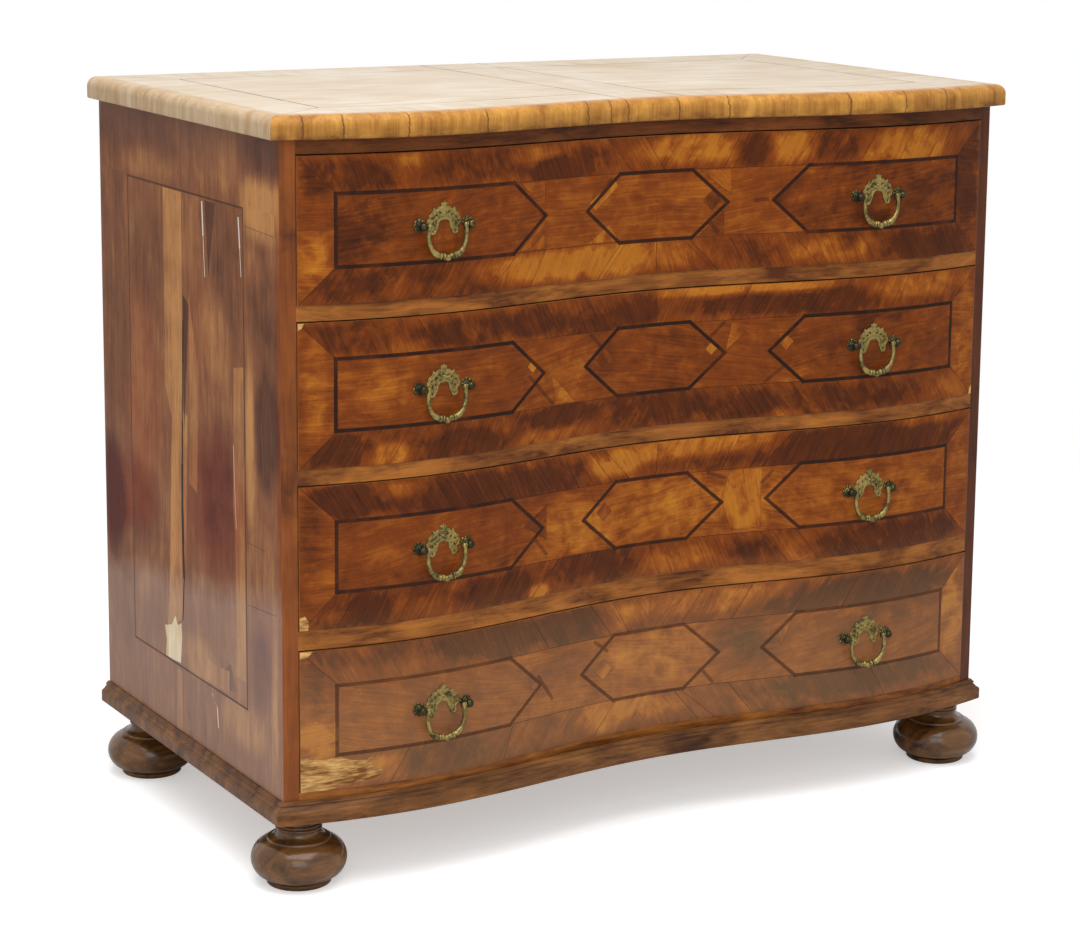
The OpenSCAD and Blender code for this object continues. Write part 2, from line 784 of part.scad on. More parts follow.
top_board();
top_edge_front();
top_edge_left();
top_edge_right();
side_left();
side_right();
back_boards();
bottom_board();
top_rail();
rail_upper();
rail_middle();
rail_lower();
bottom_rail();
drawer_runners();
top_kickers();
drawer_stops();
base_moulding_front();
base_moulding_left();
base_moulding_right();
foot_front_left();
foot_front_right();
foot_rear_left();
foot_rear_right();
foot_blocks();
drawer_front(1);  // drawer_1_front
mirror([1, 0, 0]) drawer_side(1);  // drawer_1_side_left
drawer_side(1);  // drawer_1_side_right
drawer_back(1);  // drawer_1_back
drawer_bottom(1);  // drawer_1_bottom
plates(1);  // drawer_1_plates
posts(1);  // drawer_1_posts
drawer_front(2);  // drawer_2_front
mirror([1, 0, 0]) drawer_side(2);  // drawer_2_side_left
drawer_side(2);  // drawer_2_side_right
drawer_back(2);  // drawer_2_back
drawer_bottom(2);  // drawer_2_bottom
plates(2);  // drawer_2_plates
posts(2);  // drawer_2_posts
drawer_front(3);  // drawer_3_front
mirror([1, 0, 0]) drawer_side(3);  // drawer_3_side_left
drawer_side(3);  // drawer_3_side_right
drawer_back(3);  // drawer_3_back
drawer_bottom(3);  // drawer_3_bottom
plates(3);  // drawer_3_plates
posts(3);  // drawer_3_posts
drawer_front(4);  // drawer_4_front
mirror([1, 0, 0]) drawer_side(4);  // drawer_4_side_left
drawer_side(4);  // drawer_4_side_right
drawer_back(4);  // drawer_4_back
drawer_bottom(4);  // drawer_4_bottom
plates(4);  // drawer_4_plates
posts(4);  // drawer_4_posts
bail(1, left);  // bail_1_left
bail(1, right);  // bail_1_right
bail(2, left);  // bail_2_left
bail(2, right);  // bail_2_right
bail(3, left);  // bail_3_left
bail(3, right);  // bail_3_right
bail(4, left);  // bail_4_left
bail(4, right);  // bail_4_right
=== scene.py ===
"""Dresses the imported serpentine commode: veneer, inlay, mouldings, feet, pulls and a plain stage."""

import json
import math
import random

import bmesh
import bpy
import numpy as np
from mathutils import Matrix, Vector


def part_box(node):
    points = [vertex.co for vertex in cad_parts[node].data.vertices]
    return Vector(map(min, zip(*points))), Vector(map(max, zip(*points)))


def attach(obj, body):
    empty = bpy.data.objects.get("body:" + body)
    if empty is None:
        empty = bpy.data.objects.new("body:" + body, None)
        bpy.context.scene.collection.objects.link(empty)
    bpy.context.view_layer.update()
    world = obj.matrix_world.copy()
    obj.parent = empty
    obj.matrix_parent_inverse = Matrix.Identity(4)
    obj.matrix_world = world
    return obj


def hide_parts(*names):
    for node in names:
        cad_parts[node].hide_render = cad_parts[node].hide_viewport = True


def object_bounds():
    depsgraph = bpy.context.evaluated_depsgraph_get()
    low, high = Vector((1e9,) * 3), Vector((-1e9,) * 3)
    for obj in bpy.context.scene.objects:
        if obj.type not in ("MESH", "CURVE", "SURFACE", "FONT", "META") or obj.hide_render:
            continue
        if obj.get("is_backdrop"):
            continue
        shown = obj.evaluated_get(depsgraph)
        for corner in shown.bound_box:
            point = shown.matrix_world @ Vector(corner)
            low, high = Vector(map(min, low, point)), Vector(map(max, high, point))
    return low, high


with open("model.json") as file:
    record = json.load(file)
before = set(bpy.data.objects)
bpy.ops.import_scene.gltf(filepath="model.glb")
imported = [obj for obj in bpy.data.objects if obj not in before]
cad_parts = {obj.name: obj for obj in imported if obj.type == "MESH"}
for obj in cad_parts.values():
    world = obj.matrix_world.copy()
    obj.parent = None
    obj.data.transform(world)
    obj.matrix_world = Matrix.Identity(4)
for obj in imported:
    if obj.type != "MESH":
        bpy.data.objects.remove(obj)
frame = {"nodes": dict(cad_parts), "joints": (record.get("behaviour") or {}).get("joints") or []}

bl_info = {
    "name": "Serpentine commode",
    "version": (1, 0, 0),
    "blender": (4, 5, 0),
    "location": "3D View > Sidebar > Commode",
    "description": "Dresses a serpentine commode with veneer, inlay, mouldings, turned feet and bail pulls",
    "category": "Add Mesh",
}

MM = 0.001
CAD_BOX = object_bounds()
DRAWERS = (1, 2, 3, 4)
SIDES = {"left": -1, "right": 1}

# The case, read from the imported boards; its depth runs from the back to its front corners
SIDE_LOW, SIDE_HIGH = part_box("side_left")
HALF = -SIDE_LOW.x
REAR = SIDE_HIGH.y
FRONT = REAR - 600 * MM
CASE_LOW, CASE_HIGH = SIDE_LOW.z, SIDE_HIGH.z
TOP_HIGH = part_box("top_board")[1].z

# The serpentine: height of its wave and bulge of its middle, for the case, the top and the base moulding
WAVE, LIFT = 20 * MM, 6 * MM
TOP_LINE = (WAVE * 1.15, LIFT * 1.15)
BASE_LINE = (WAVE - 4.75 * MM, LIFT + 4.75 * MM)
TURN = 3 * math.pi / (2 * HALF)
# How far the drawer fronts stand before the rails
PROUD = 1.5 * MM

# The pulls: from the middle of a pull to its posts, from the front to the middle of a knob, and the knob
POST_HALF = 35 * MM
KNOB_OUT = 10.5 * MM
KNOB = 5.5 * MM

# Values of the line attribute: joints and outlines of patches, straps, inlay, splits, and painted highlights on lifted
# veneer edges together with one bright scratch
PATCH_LINE, STRAP_LINE, JOINT_LINE, SIDE_INLAY, SPLIT_LINE, HIGHLIGHT_AND_SCRATCH_LINE = 0.27, 0.28, 0.3, 0.55, 0.62, 0.8


def swing(x, wave=WAVE, lift=LIFT):
    """How far the serpentine front stands out at x, from the line through its two corners."""
    return -wave * np.cos(TURN * x) + lift * (1 - np.abs(x / HALF) ** 6)


def slope(x, wave=WAVE, lift=LIFT):
    """Rise of the serpentine line at x."""
    return wave * TURN * np.sin(TURN * x) - 6 * lift / HALF * np.abs(x / HALF) ** 5 * np.sign(x)


def metres(points):
    """Points that are given in millimetres."""
    return [(x * MM, y * MM) for x, y in points]


def edges_of(corners):
    """The edges of a closed outline."""
    return zip(corners, corners[1:] + corners[:1])


def inside(c, corners):
    """Whether a point lies in a closed outline."""
    hit = False
    for (x1, y1), (x2, y2) in edges_of(corners):
        if (y1 > c.y) != (y2 > c.y) and c.x < (x2 - x1) * (c.y - y1) / (y2 - y1) + x1:
            hit = not hit
    return hit


def screen(red, green, blue):
    """A screen colour from 0 to 255 as the linear colour that a shader takes."""
    out = []
    for c in (red / 255, green / 255, blue / 255):
        out.append(c / 12.92 if c <= 0.04045 else ((c + 0.055) / 1.055) ** 2.4)
    return (*out, 1.0)


def colour_prop(name, description, red, green, blue):
    """A colour that the panel shows."""
    return bpy.props.FloatVectorProperty(
        name=name, description=description, subtype="COLOR", size=4, min=0, max=1,
        default=screen(red, green, blue),
    )


def length_prop(name, description, value, low, high):
    """A length in metres that the panel shows."""
    return bpy.props.FloatProperty(
        name=name, description=description, default=value, min=low, max=high, unit="LENGTH", precision=5,
    )


def share_prop(name, description, value, high):
    """A plain number that the panel shows."""
    return bpy.props.FloatProperty(name=name, description=description, default=value, min=0, max=high)


def power_prop(name, description, value):
    """A lamp's power that the panel shows."""
    return bpy.props.FloatProperty(name=name, description=description, default=value, min=0, unit="POWER")


class CommodeVeneer(bpy.types.PropertyGroup):
    """Colours and sizes of the veneered surfaces"""

    sapwood: colour_prop("Sapwood", "Golden outer wood of the walnut", 178, 113, 34)
    tan: colour_prop("Tan", "Light brown walnut", 152, 84, 24)
    panel: colour_prop("Panel", "Red brown walnut of the panels", 120, 58, 16)
    heart: colour_prop("Heart", "Dark brown heartwood", 86, 40, 13)
    knot: colour_prop("Knot", "Darkest smears in the heartwood", 50, 23, 11)
    ebony: colour_prop("Ebony", "Ebonised inlay lines", 34, 20, 14)
    bare: colour_prop("Bare wood", "Ground wood where veneer is lost", 216, 170, 104)
    inlay_width: length_prop("Inlay width", "Width of the dark inlay lines", 0.0050, 0.002, 0.01)
    joint_width: length_prop("Joint width", "Width of an open veneer joint", 0.0010, 0.0002, 0.003)
    sheet: length_prop("Veneer", "How far the veneer stands on its board", 0.00035, 0.0001, 0.001)
    grain: share_prop("Grain", "How strong the grain is", 1.0, 2)


class CommodeTimber(bpy.types.PropertyGroup):
    """Colours of the sides, the top, the rails, the mouldings and the inside"""

    side_light: colour_prop("Side, light", "Tan streaks of the sides", 192, 136, 80)
    side_mid: colour_prop("Side, middle", "Middle tone of the sides", 132, 82, 52)
    side_dark: colour_prop("Side, dark", "Dark streaks of the sides", 76, 44, 30)
    side_warm: colour_prop("Side, warm", "Rust brown of the sides", 144, 70, 38)
    side_deep: colour_prop("Side, deep", "Deepest red brown of the sides", 84, 22, 5)
    top_light: colour_prop("Top, light", "Faded polished top", 206, 198, 184)
    top_dark: colour_prop("Top, dark", "Darker clouds of the top", 178, 152, 122)
    edge_light: colour_prop("Edge, light", "Light cross grain of the top edge", 206, 150, 70)
    edge_dark: colour_prop("Edge, dark", "Dark cross grain of the top edge", 142, 90, 38)
    rail_light: colour_prop("Rail, light", "Light parts of the rails", 166, 102, 42)
    rail_dark: colour_prop("Rail, dark", "Dark parts of the rails", 80, 40, 18)
    edge_pale: colour_prop("Edge, faded", "Faded cross grain of the edge along the sides", 204, 182, 150)
    base_light: colour_prop("Base, light", "Rubbed parts of the base moulding and feet", 140, 92, 50)
    base_dark: colour_prop("Base, dark", "Dark wax on the base moulding and feet", 56, 31, 17)
    pine_light: colour_prop("Pine, light", "Early wood of the pine inside", 206, 166, 112)
    pine_dark: colour_prop("Pine, dark", "Late wood of the pine inside", 158, 112, 66)


class CommodeMetal(bpy.types.PropertyGroup):
    """Colours of the brass"""

    brass: colour_prop("Brass", "Rubbed brass", 168, 148, 88)
    patina: colour_prop("Patina", "Green brown patina", 92, 84, 50)
    dark: colour_prop("Dark patina", "Nearly black patina of knobs and flowers", 44, 46, 36)


class CommodeStage(bpy.types.PropertyGroup):
    """Light and floor"""

    floor: colour_prop("Floor", "Pale floor", 238, 238, 238)
    sky: share_prop("Room light", "Brightness of the light from all round", 0.56, 3)
    key: power_prop("Key light", "Power of the light over the top", 70)
    fill: power_prop("Front light", "Power of the light before the front", 58)


class Wire:
    """One output socket of a node tree, which sums and products take like a number."""

    def __init__(self, tree, socket):
        self.tree, self.socket = tree, socket

    def maths(self, operation, *others, swap=False, clamp=False):
        values = (*others, self) if swap else (self, *others)
        return add(self.tree, "ShaderNodeMath", {"operation": operation, "use_clamp": clamp}, values)

    def __add__(self, other):
        return self.maths("ADD", other)

    __radd__ = __add__

    def __sub__(self, other):
        return self.maths("SUBTRACT", other)

    def __rsub__(self, other):
        return self.maths("SUBTRACT", other, swap=True)

    def __mul__(self, other):
        return self.maths("MULTIPLY", other)

    __rmul__ = __mul__

    def __truediv__(self, other):
        return self.maths("DIVIDE", other)

    def __abs__(self):
        return self.maths("ABSOLUTE")

    def clip(self):
        return self.maths("ADD", 0.0, clamp=True)

    def step(self, low, high):
        """0 below low, 1 above high, and straight between them."""
        return ((self - low) / (high - low)).clip()

    def least(self, other):
        return self.maths("MINIMUM", other)

    def most(self, other):
        return self.maths("MAXIMUM", other)

    def scaled(self, *sizes):
        return add(self.tree, "ShaderNodeVectorMath", {"operation": "MULTIPLY"}, (self, sizes))

    def moved(self, other):
        return add(self.tree, "ShaderNodeVectorMath", {"operation": "ADD"}, (self, other))


def add(tree, kind, settings=None, sockets=(), out=0):
    """Adds a node, makes its settings, fills or links its sockets and returns one of its outputs."""
    node = tree.nodes.new(kind)
    for name, value in (settings or {}).items():
        if name == "stops":
            ramp = node.color_ramp.elements
            while len(ramp) < len(value):
                ramp.new(0.5)
            for stop, (place, colour) in zip(ramp, value):
                stop.position, stop.color = place, colour
        else:
            setattr(node, name, value)
    pairs = sockets.items() if isinstance(sockets, dict) else enumerate(sockets)
    for key, value in pairs:
        if isinstance(value, Wire):
            tree.links.new(value.socket, node.inputs[key])
        else:
            node.inputs[key].default_value = value
    return Wire(tree, node.outputs[out])


class Finish:
    """A material in the making."""

    def __init__(self, name):
        self.material = bpy.data.materials.new(name)
        self.material.use_nodes = True
        self.tree = self.material.node_tree
        self.tree.nodes.clear()

    def add(self, kind, settings=None, sockets=(), out=0):
        return add(self.tree, kind, settings, sockets, out)

    def place(self):
        """Where a point is on the whole piece, in metres."""
        return self.add("ShaderNodeTexCoord", out="Object")

    def axes(self, point):
        return [self.add("ShaderNodeSeparateXYZ", sockets=(point,), out=i) for i in range(3)]

    def sheet(self, name):
        return self.add("ShaderNodeUVMap", {"uv_map": name})

    def value(self, name):
        return self.add("ShaderNodeAttribute", {"attribute_name": name}, out="Fac")

    def noise(self, point, detail=2.0, rough=0.5, bend=0.0):
        """Soft random value about 0, between -0.5 and 0.5."""
        sockets = {"Vector": point, "Scale": 1.0, "Detail": detail, "Roughness": rough, "Distortion": bend}
        return self.add("ShaderNodeTexNoise", sockets=sockets) - 0.5

    def cloud(self, fine, detail=2.0, rough=0.5, bend=0.0):
        """Soft random value over the whole piece, finer for a larger number."""
        return self.noise(self.place().scaled(fine, fine, fine), detail, rough, bend)

    def ramp(self, value, stops):
        return self.add("ShaderNodeValToRGB", {"stops": stops}, (value,))

    def mix(self, factor, first, second):
        return self.add("ShaderNodeMix", {"data_type": "RGBA"}, {0: factor, 6: first, 7: second}, out=2)

    def done(self, colour, roughness, metallic=0.0, height=None, depth=0.0002, gloss=0.14):
        """Closes the material with one Principled shader."""
        sockets = {"Base Color": colour, "Roughness": roughness, "Metallic": metallic, "Specular IOR Level": gloss}
        if height is not None:
            relief = {"Height": height, "Strength": 0.7, "Distance": depth}
            sockets["Normal"] = self.add("ShaderNodeBump", sockets=relief)
        return self.close(self.add("ShaderNodeBsdfPrincipled", sockets=sockets))

    def close(self, shader):
        """Makes the shader the material's surface."""
        node = self.tree.nodes.new("ShaderNodeOutputMaterial")
        self.tree.links.new(shader.socket, node.inputs["Surface"])
        return self.material


def wood_layers(f, grain, grain_share=1.0):
    """Figure, streak and pore values of wood whose grain runs along the first axis of the grain point."""
    bend = f.noise(grain.scaled(7, 12, 7), 1.0) * 0.02
    across = f.add("ShaderNodeCombineXYZ", sockets=(0.0, bend, 0.0))
    point = grain.moved(across)
    figure = f.noise(point.scaled(8, 42, 42), 3.0, 0.55, 0.6) * grain_share
    streak = f.noise(point.scaled(16, 330, 330), 2.0, 0.6) * grain_share
    pore = f.noise(point.scaled(150, 1900, 1900), 1.0).step(0.12, 0.2)
    return figure, streak, pore


def front_finish(look):
    """Walnut veneer: a tone attribute moves it from sapwood to heart, and a line attribute draws the inlay."""
    f = Finish("front veneer")
    stops = [(0.0, look.sapwood), (0.27, look.tan), (0.5, look.panel), (0.76, look.heart), (1.0, look.knot)]
    grain = f.sheet("grain")
    tone, line = f.value("tone"), f.value("line")
    figure, streak, pore = wood_layers(f, grain, look.grain)
    cloud = f.cloud(38, 5.0, 0.65)
    ragged = f.noise(grain.scaled(22, 40, 1), 5.0, 0.62, 0.8) * 1.2 + f.cloud(34, 5.0, 0.6, 0.6)
    smear = tone * 0.85 + ragged * (0.6 + abs(tone) * 2.0).least(1.7)
    smear = (smear * 1.7).least(1.0).most(-1.0)
    depth = 0.49 + smear * (0.35 - smear * 0.02) + figure * 0.3 + streak * 0.45 + cloud * 0.3
    wood = f.ramp(depth.clip(), stops)
    # Painted reflection: the lower fronts are mixed towards a pale colour that stands for the white floor reflecting in
    # them
    low = 1 - f.axes(f.place())[2].step(0.24, 0.37)
    wood = f.mix(low * 0.13, wood, screen(202, 178, 136))
    wood = f.mix(pore * 0.28, wood, look.knot)
    spots = f.cloud(160, 2.0, 0.7).step(0.245, 0.29)
    wood = f.mix(spots * 0.30, wood, look.sapwood)
    worn = f.cloud(24, 4.0, 0.65).step(0.0, 0.2)
    inlay = f.mix(worn * 0.75, look.ebony, look.heart)
    colour = f.mix(line.step(0.2, 0.3) * 0.62, wood, look.knot)
    colour = f.mix(line.step(0.9, 1.0) * 0.92, colour, inlay)
    rough = 0.32 + cloud * 0.16 + abs(streak) * 0.2
    height = streak * 0.5 + figure * 0.4 + cloud * 0.4 - line.step(0.2, 0.3) * 0.6
    return f.done(colour, rough, height=height, depth=0.00035, gloss=0.11)


def board_finish(name, along, colours, lacquer, figure_share=0.9, streaks=0.6, rings=0.0, cracks=(), gloss=0.14):
    """Wood whose grain runs along X, Y or Z, of a light, a dark and, if it has smears, a deep colour."""
    light, dark, *deep = colours
    f = Finish(name)
    point = f.place()
    x, y, z = f.axes(point)
    order = {"X": (x, y, z), "Y": (y, x, z), "Z": (z, x, y)}[along]
    grain = f.add("ShaderNodeCombineXYZ", sockets=order)
    figure, streak, pore = wood_layers(f, grain)
    cloud = f.cloud(14, 3.0, 0.6)
    value = 0.5 + figure * figure_share + streak * streaks + cloud * 0.7
    if rings:
        drift = f.noise(grain.scaled(1.4, 9, 9), 2.0) * 0.10 + f.noise(grain.scaled(3, 40, 40), 2.0) * 0.02
        ring = (order[1] + order[2] * 0.7 + drift) * rings
        value = value * 0.6 + (ring.maths("SINE") * 0.5 + 0.5).step(0.3, 1.0) * (0.34 + cloud * 0.6)
    colour = f.mix(value.clip(), light, dark)
    if deep:
        colour = f.mix(f.cloud(9, 4.0, 0.65, 0.6).step(0.08, 0.24) * 0.7, colour, deep[0])
    colour = f.mix(pore * 0.25, colour, dark)
    height = streak * 0.6 + figure * 0.3
    if cracks:
        wander = order[1] + f.noise(point.scaled(60, 60, 160), 2.0) * 0.006
        nearest = abs(wander - cracks[0])
        for place in cracks[1:]:
            nearest = nearest.least(abs(wander - place))
        gap = 1 - nearest.step(0.0004, 0.0015)
        colour = f.mix(gap * 0.75, colour, screen(60, 36, 22))
        height = height - gap
        blot = f.noise(point.scaled(34, 34, 70), 4.0, 0.65)
        # The lipping's front is darker towards the bottom, in blotches
        darker_lower_band = (1 - z.step(TOP_HIGH - 0.027, TOP_HIGH - 0.010)) * (0.55 + blot * 2.4).clip()
        colour = f.mix(darker_lower_band * 0.85, colour, screen(92, 54, 24))
    return f.done(colour, lacquer + cloud * 0.2, height=height, depth=0.0003, gloss=gloss)


def brass_finish(name, metal, shine, rubbed):
    """Old brass: rubbed where it stands out, with green brown patina between."""
    f = Finish(name)
    grime = f.cloud(260, 4.0, 0.65)
    large = f.cloud(70)
    pointy = f.add("ShaderNodeNewGeometry", out="Pointiness").step(0.44, 0.60)
    mask = (grime * 1.5 + large * 1.2 + pointy * 0.7 + rubbed).clip()
    colour = f.mix(mask, metal.dark, metal.patina)
    colour = f.mix((mask * 1.4 - 0.55).clip(), colour, metal.brass)
    rough = shine + 0.30 * (1 - mask) + grime * 0.2
    return f.done(colour, rough, metallic=0.86, height=grime, depth=0.00015)


def new_object(name, mesh):
    thing = bpy.data.objects.new(name, mesh)
    bpy.context.scene.collection.objects.link(thing)
    return thing


def mesh_of(name, bm):
    """Makes a mesh of a finished bmesh."""
    mesh = bpy.data.meshes.new(name)
    bm.to_mesh(mesh)
    bm.free()
    return mesh


def soften(mesh, angle=40):
    """Smooth shading with sharp edges where the faces turn by more than the angle."""
    mesh.shade_smooth()
    mesh.set_sharp_from_angle(angle=math.radians(angle))


def dress(node, material):
    """Gives a packed board its finish."""
    mesh = frame["nodes"][node].data
    mesh.materials.clear()
    mesh.materials.append(material)


def stand_for(thing, body, slot, *nodes):
    """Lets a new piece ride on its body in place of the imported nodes."""
    if nodes:
        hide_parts(*nodes)
    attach(thing, body)


class Leaf:
    """A flat sheet of veneer that is cut along its joints and inlay and then laid on its board."""

    def __init__(self, across, up, cell, rim=1.2 * MM):
        self.bm = bmesh.new()
        self.across, self.up, self.rim = across, up, rim
        self.strips = []
        columns = self.spread(across, cell, rim)
        rows = self.spread(up, cell, rim)
        grid = [[self.bm.verts.new((u, v, 0)) for u in columns] for v in rows]
        for i in range(len(rows) - 1):
            for j in range(len(columns) - 1):
                self.bm.faces.new((grid[i][j], grid[i][j + 1], grid[i + 1][j + 1], grid[i + 1][j]))

    @staticmethod
    def spread(ends, cell, rim):
        low, high = ends
        count = max(2, round((high - low - 2 * rim) / cell))
        inside = np.linspace(low + rim, high - rim, count + 1)
        return [low, *inside.tolist(), high] if rim else inside.tolist()

    def cut(self, a, b, pad=0.0, reach=0.011):
        """Cuts the faces beside the segment from a to b."""
        a, b = Vector((*a, 0)), Vector((*b, 0))
        along = (b - a).normalized()
        side = Vector((-along.y, along.x, 0))
        length = (b - a).length
        near = []
        for face in self.bm.faces:
            c = face.calc_center_median() - a
            if -pad - reach < c.dot(along) < length + pad + reach and abs(c.dot(side)) < reach:
                near.append(face)
        edges = {e for face in near for e in face.edges}
        verts = {v for face in near for v in face.verts}
        bmesh.ops.bisect_plane(self.bm, geom=[*near, *edges, *verts], dist=2e-5, plane_co=a, plane_no=side)

    def strip(self, a, b, width, kind, overlap=False):
        """Lets in a straight strip between two points; kind is the value of its faces."""
        a, b = Vector(a), Vector(b)
        along = (b - a).normalized()
        side = Vector((-along.y, along.x)) * width / 2
        cap = along * (width / 2 if overlap else 0)
        for s in (side, -side):
            self.cut(a - cap + s, b + cap + s)
        for end in (a - cap, b + cap):
            self.cut(end - side, end + side, reach=0.007)
        self.strips.append((a - cap, b + cap, along, width / 2, kind))

    def ring(self, corners, width, kind):
        for a, b in edges_of(corners):
            self.strip(a, b, width, kind, overlap=True)

    def trace(self, corners, reach):
        """Cuts the sheet along a closed outline."""
        for a, b in edges_of(corners):
            self.cut(a, b, reach=reach)

    def kind(self, c):
        """Value of the strip that a point lies in, or 0."""
        best = 0.0
        for a, b, along, half, kind in self.strips:
            d = c - a
            t = d.dot(along)
            if -1e-5 < t < (b - a).length + 1e-5 and abs(d.cross(along)) < half + 1e-5:
                best = max(best, kind)
        return best

    def lay(self, name, lie, piece, field, thick, lift, lost=None, warmth=None):
        """Lays the sheet on its board.

        lie bends points to the board, piece gives a point's zone, tone, grain angle and seed, field adds the
        smears, lost says where the ground shows, and warmth how red the wood is.
        """
        bm = self.bm
        gone = [f for f in bm.faces if lost and lost(Vector(f.calc_center_median().xy))]
        if gone:
            bmesh.ops.split(bm, geom=gone)
        bare_layer = bm.faces.layers.int.new("bare_face")
        for face in bm.faces:
            face[bare_layer] = bool(gone) and lost(Vector(face.calc_center_median().xy))
        line = bm.faces.layers.float.new("line")
        tone = bm.loops.layers.float.new("tone")
        warm = bm.loops.layers.float.new("warm")
        grain = bm.loops.layers.uv.new("grain")
        (u0, u1), (v0, v1) = self.across, self.up
        for face in bm.faces:
            c = Vector(face.calc_center_median().xy)
            zone, base, angle, seed = piece(c)
            face[line] = self.kind(c)
            turn = math.radians(angle)
            cos, sin = math.cos(turn), math.sin(turn)
            for loop in face.loops:
                u, v = loop.vert.co.xy
                loop[tone] = base + field(u, v, zone)
                loop[warm] = warmth(u, v) if warmth else 0.0
                loop[grain].uv = (u * cos + v * sin + seed * 0.37, v * cos - u * sin + seed * 0.71)
            bare = face[bare_layer]
            for vert in face.verts:
                u, v = vert.co.xy
                edge = min(u - u0, u1 - u, v1 - v, v - v0) < self.rim * 0.5
                vert.co.z = lift * (0.15 if bare else -0.2 if edge and self.rim else 1.0)
            face.material_index = 1 if bare else 0
        made = bmesh.ops.extrude_face_region(bm, geom=list(bm.faces), use_keep_orig=True)["geom"]
        for vert in [g for g in made if isinstance(g, bmesh.types.BMVert)]:
            vert.co.z -= thick
        bmesh.ops.recalc_face_normals(bm, faces=list(bm.faces))
        mesh = mesh_of(name, bm)
        flat = np.zeros(len(mesh.vertices) * 3)
        mesh.vertices.foreach_get("co", flat)
        flat = flat.reshape(-1, 3)
        placed = lie(flat[:, 0], flat[:, 1], flat[:, 2])
        mesh.vertices.foreach_set("co", np.ascontiguousarray(placed, dtype=float).ravel())
        mesh.update()
        flip_if_inside_out(mesh)
        soften(mesh, 30)
        return new_object(name, mesh)


def flip_if_inside_out(mesh):
    """Turns every face of a closed mesh whose volume comes out negative."""
    bm = bmesh.new()
    bm.from_mesh(mesh)
    if bm.calc_volume(signed=True) < 0:
        bmesh.ops.reverse_faces(bm, faces=list(bm.faces))
        bm.to_mesh(mesh)
    bm.free()
    mesh.update()


# Marquetry of the drawer fronts, in millimetres from the middle of each front.
# Joints are (place at the outer edge, place at the inlay) in the upper and the lower band.
UPPER_JOINTS = {
    1: [(-77, -34), (-17, 15), (45, 10), (130, 104), (243, 209), (339, 309), (402, 375), (460, 428)],
    2: [(-378, -345), (-196, -148), (4, 5), (150, 120), (300, 268)],
    3: [(-310, -280), (-102, -62), (-77, -33), (12, 8), (139, 110), (218, 170), (380, 350)],
    4: [(-197, -167), (-96, -60), (-59, -32), (86, 52), (162, 131), (330, 300)],
}
LOWER_JOINTS = {
    1: [(-274, -223), (-205, -178), (-93, -53), (-84, -44), (4, 3), (91, 43), (100, 52), (252, 206), (341, 307)],
    2: [(-417, -385), (-250, -218), (-201, -165), (-129, -98), (81, 51), (90, 60), (206, 165), (400, 370)],
    3: [(-377, -341), (-200, -150), (-60, -30), (215, 170), (261, 225), (420, 390)],
    4: [(-416, -386), (-243, -227), (-90, -50), (82, 41), (107, 52), (165, 126), (380, 350)],
}
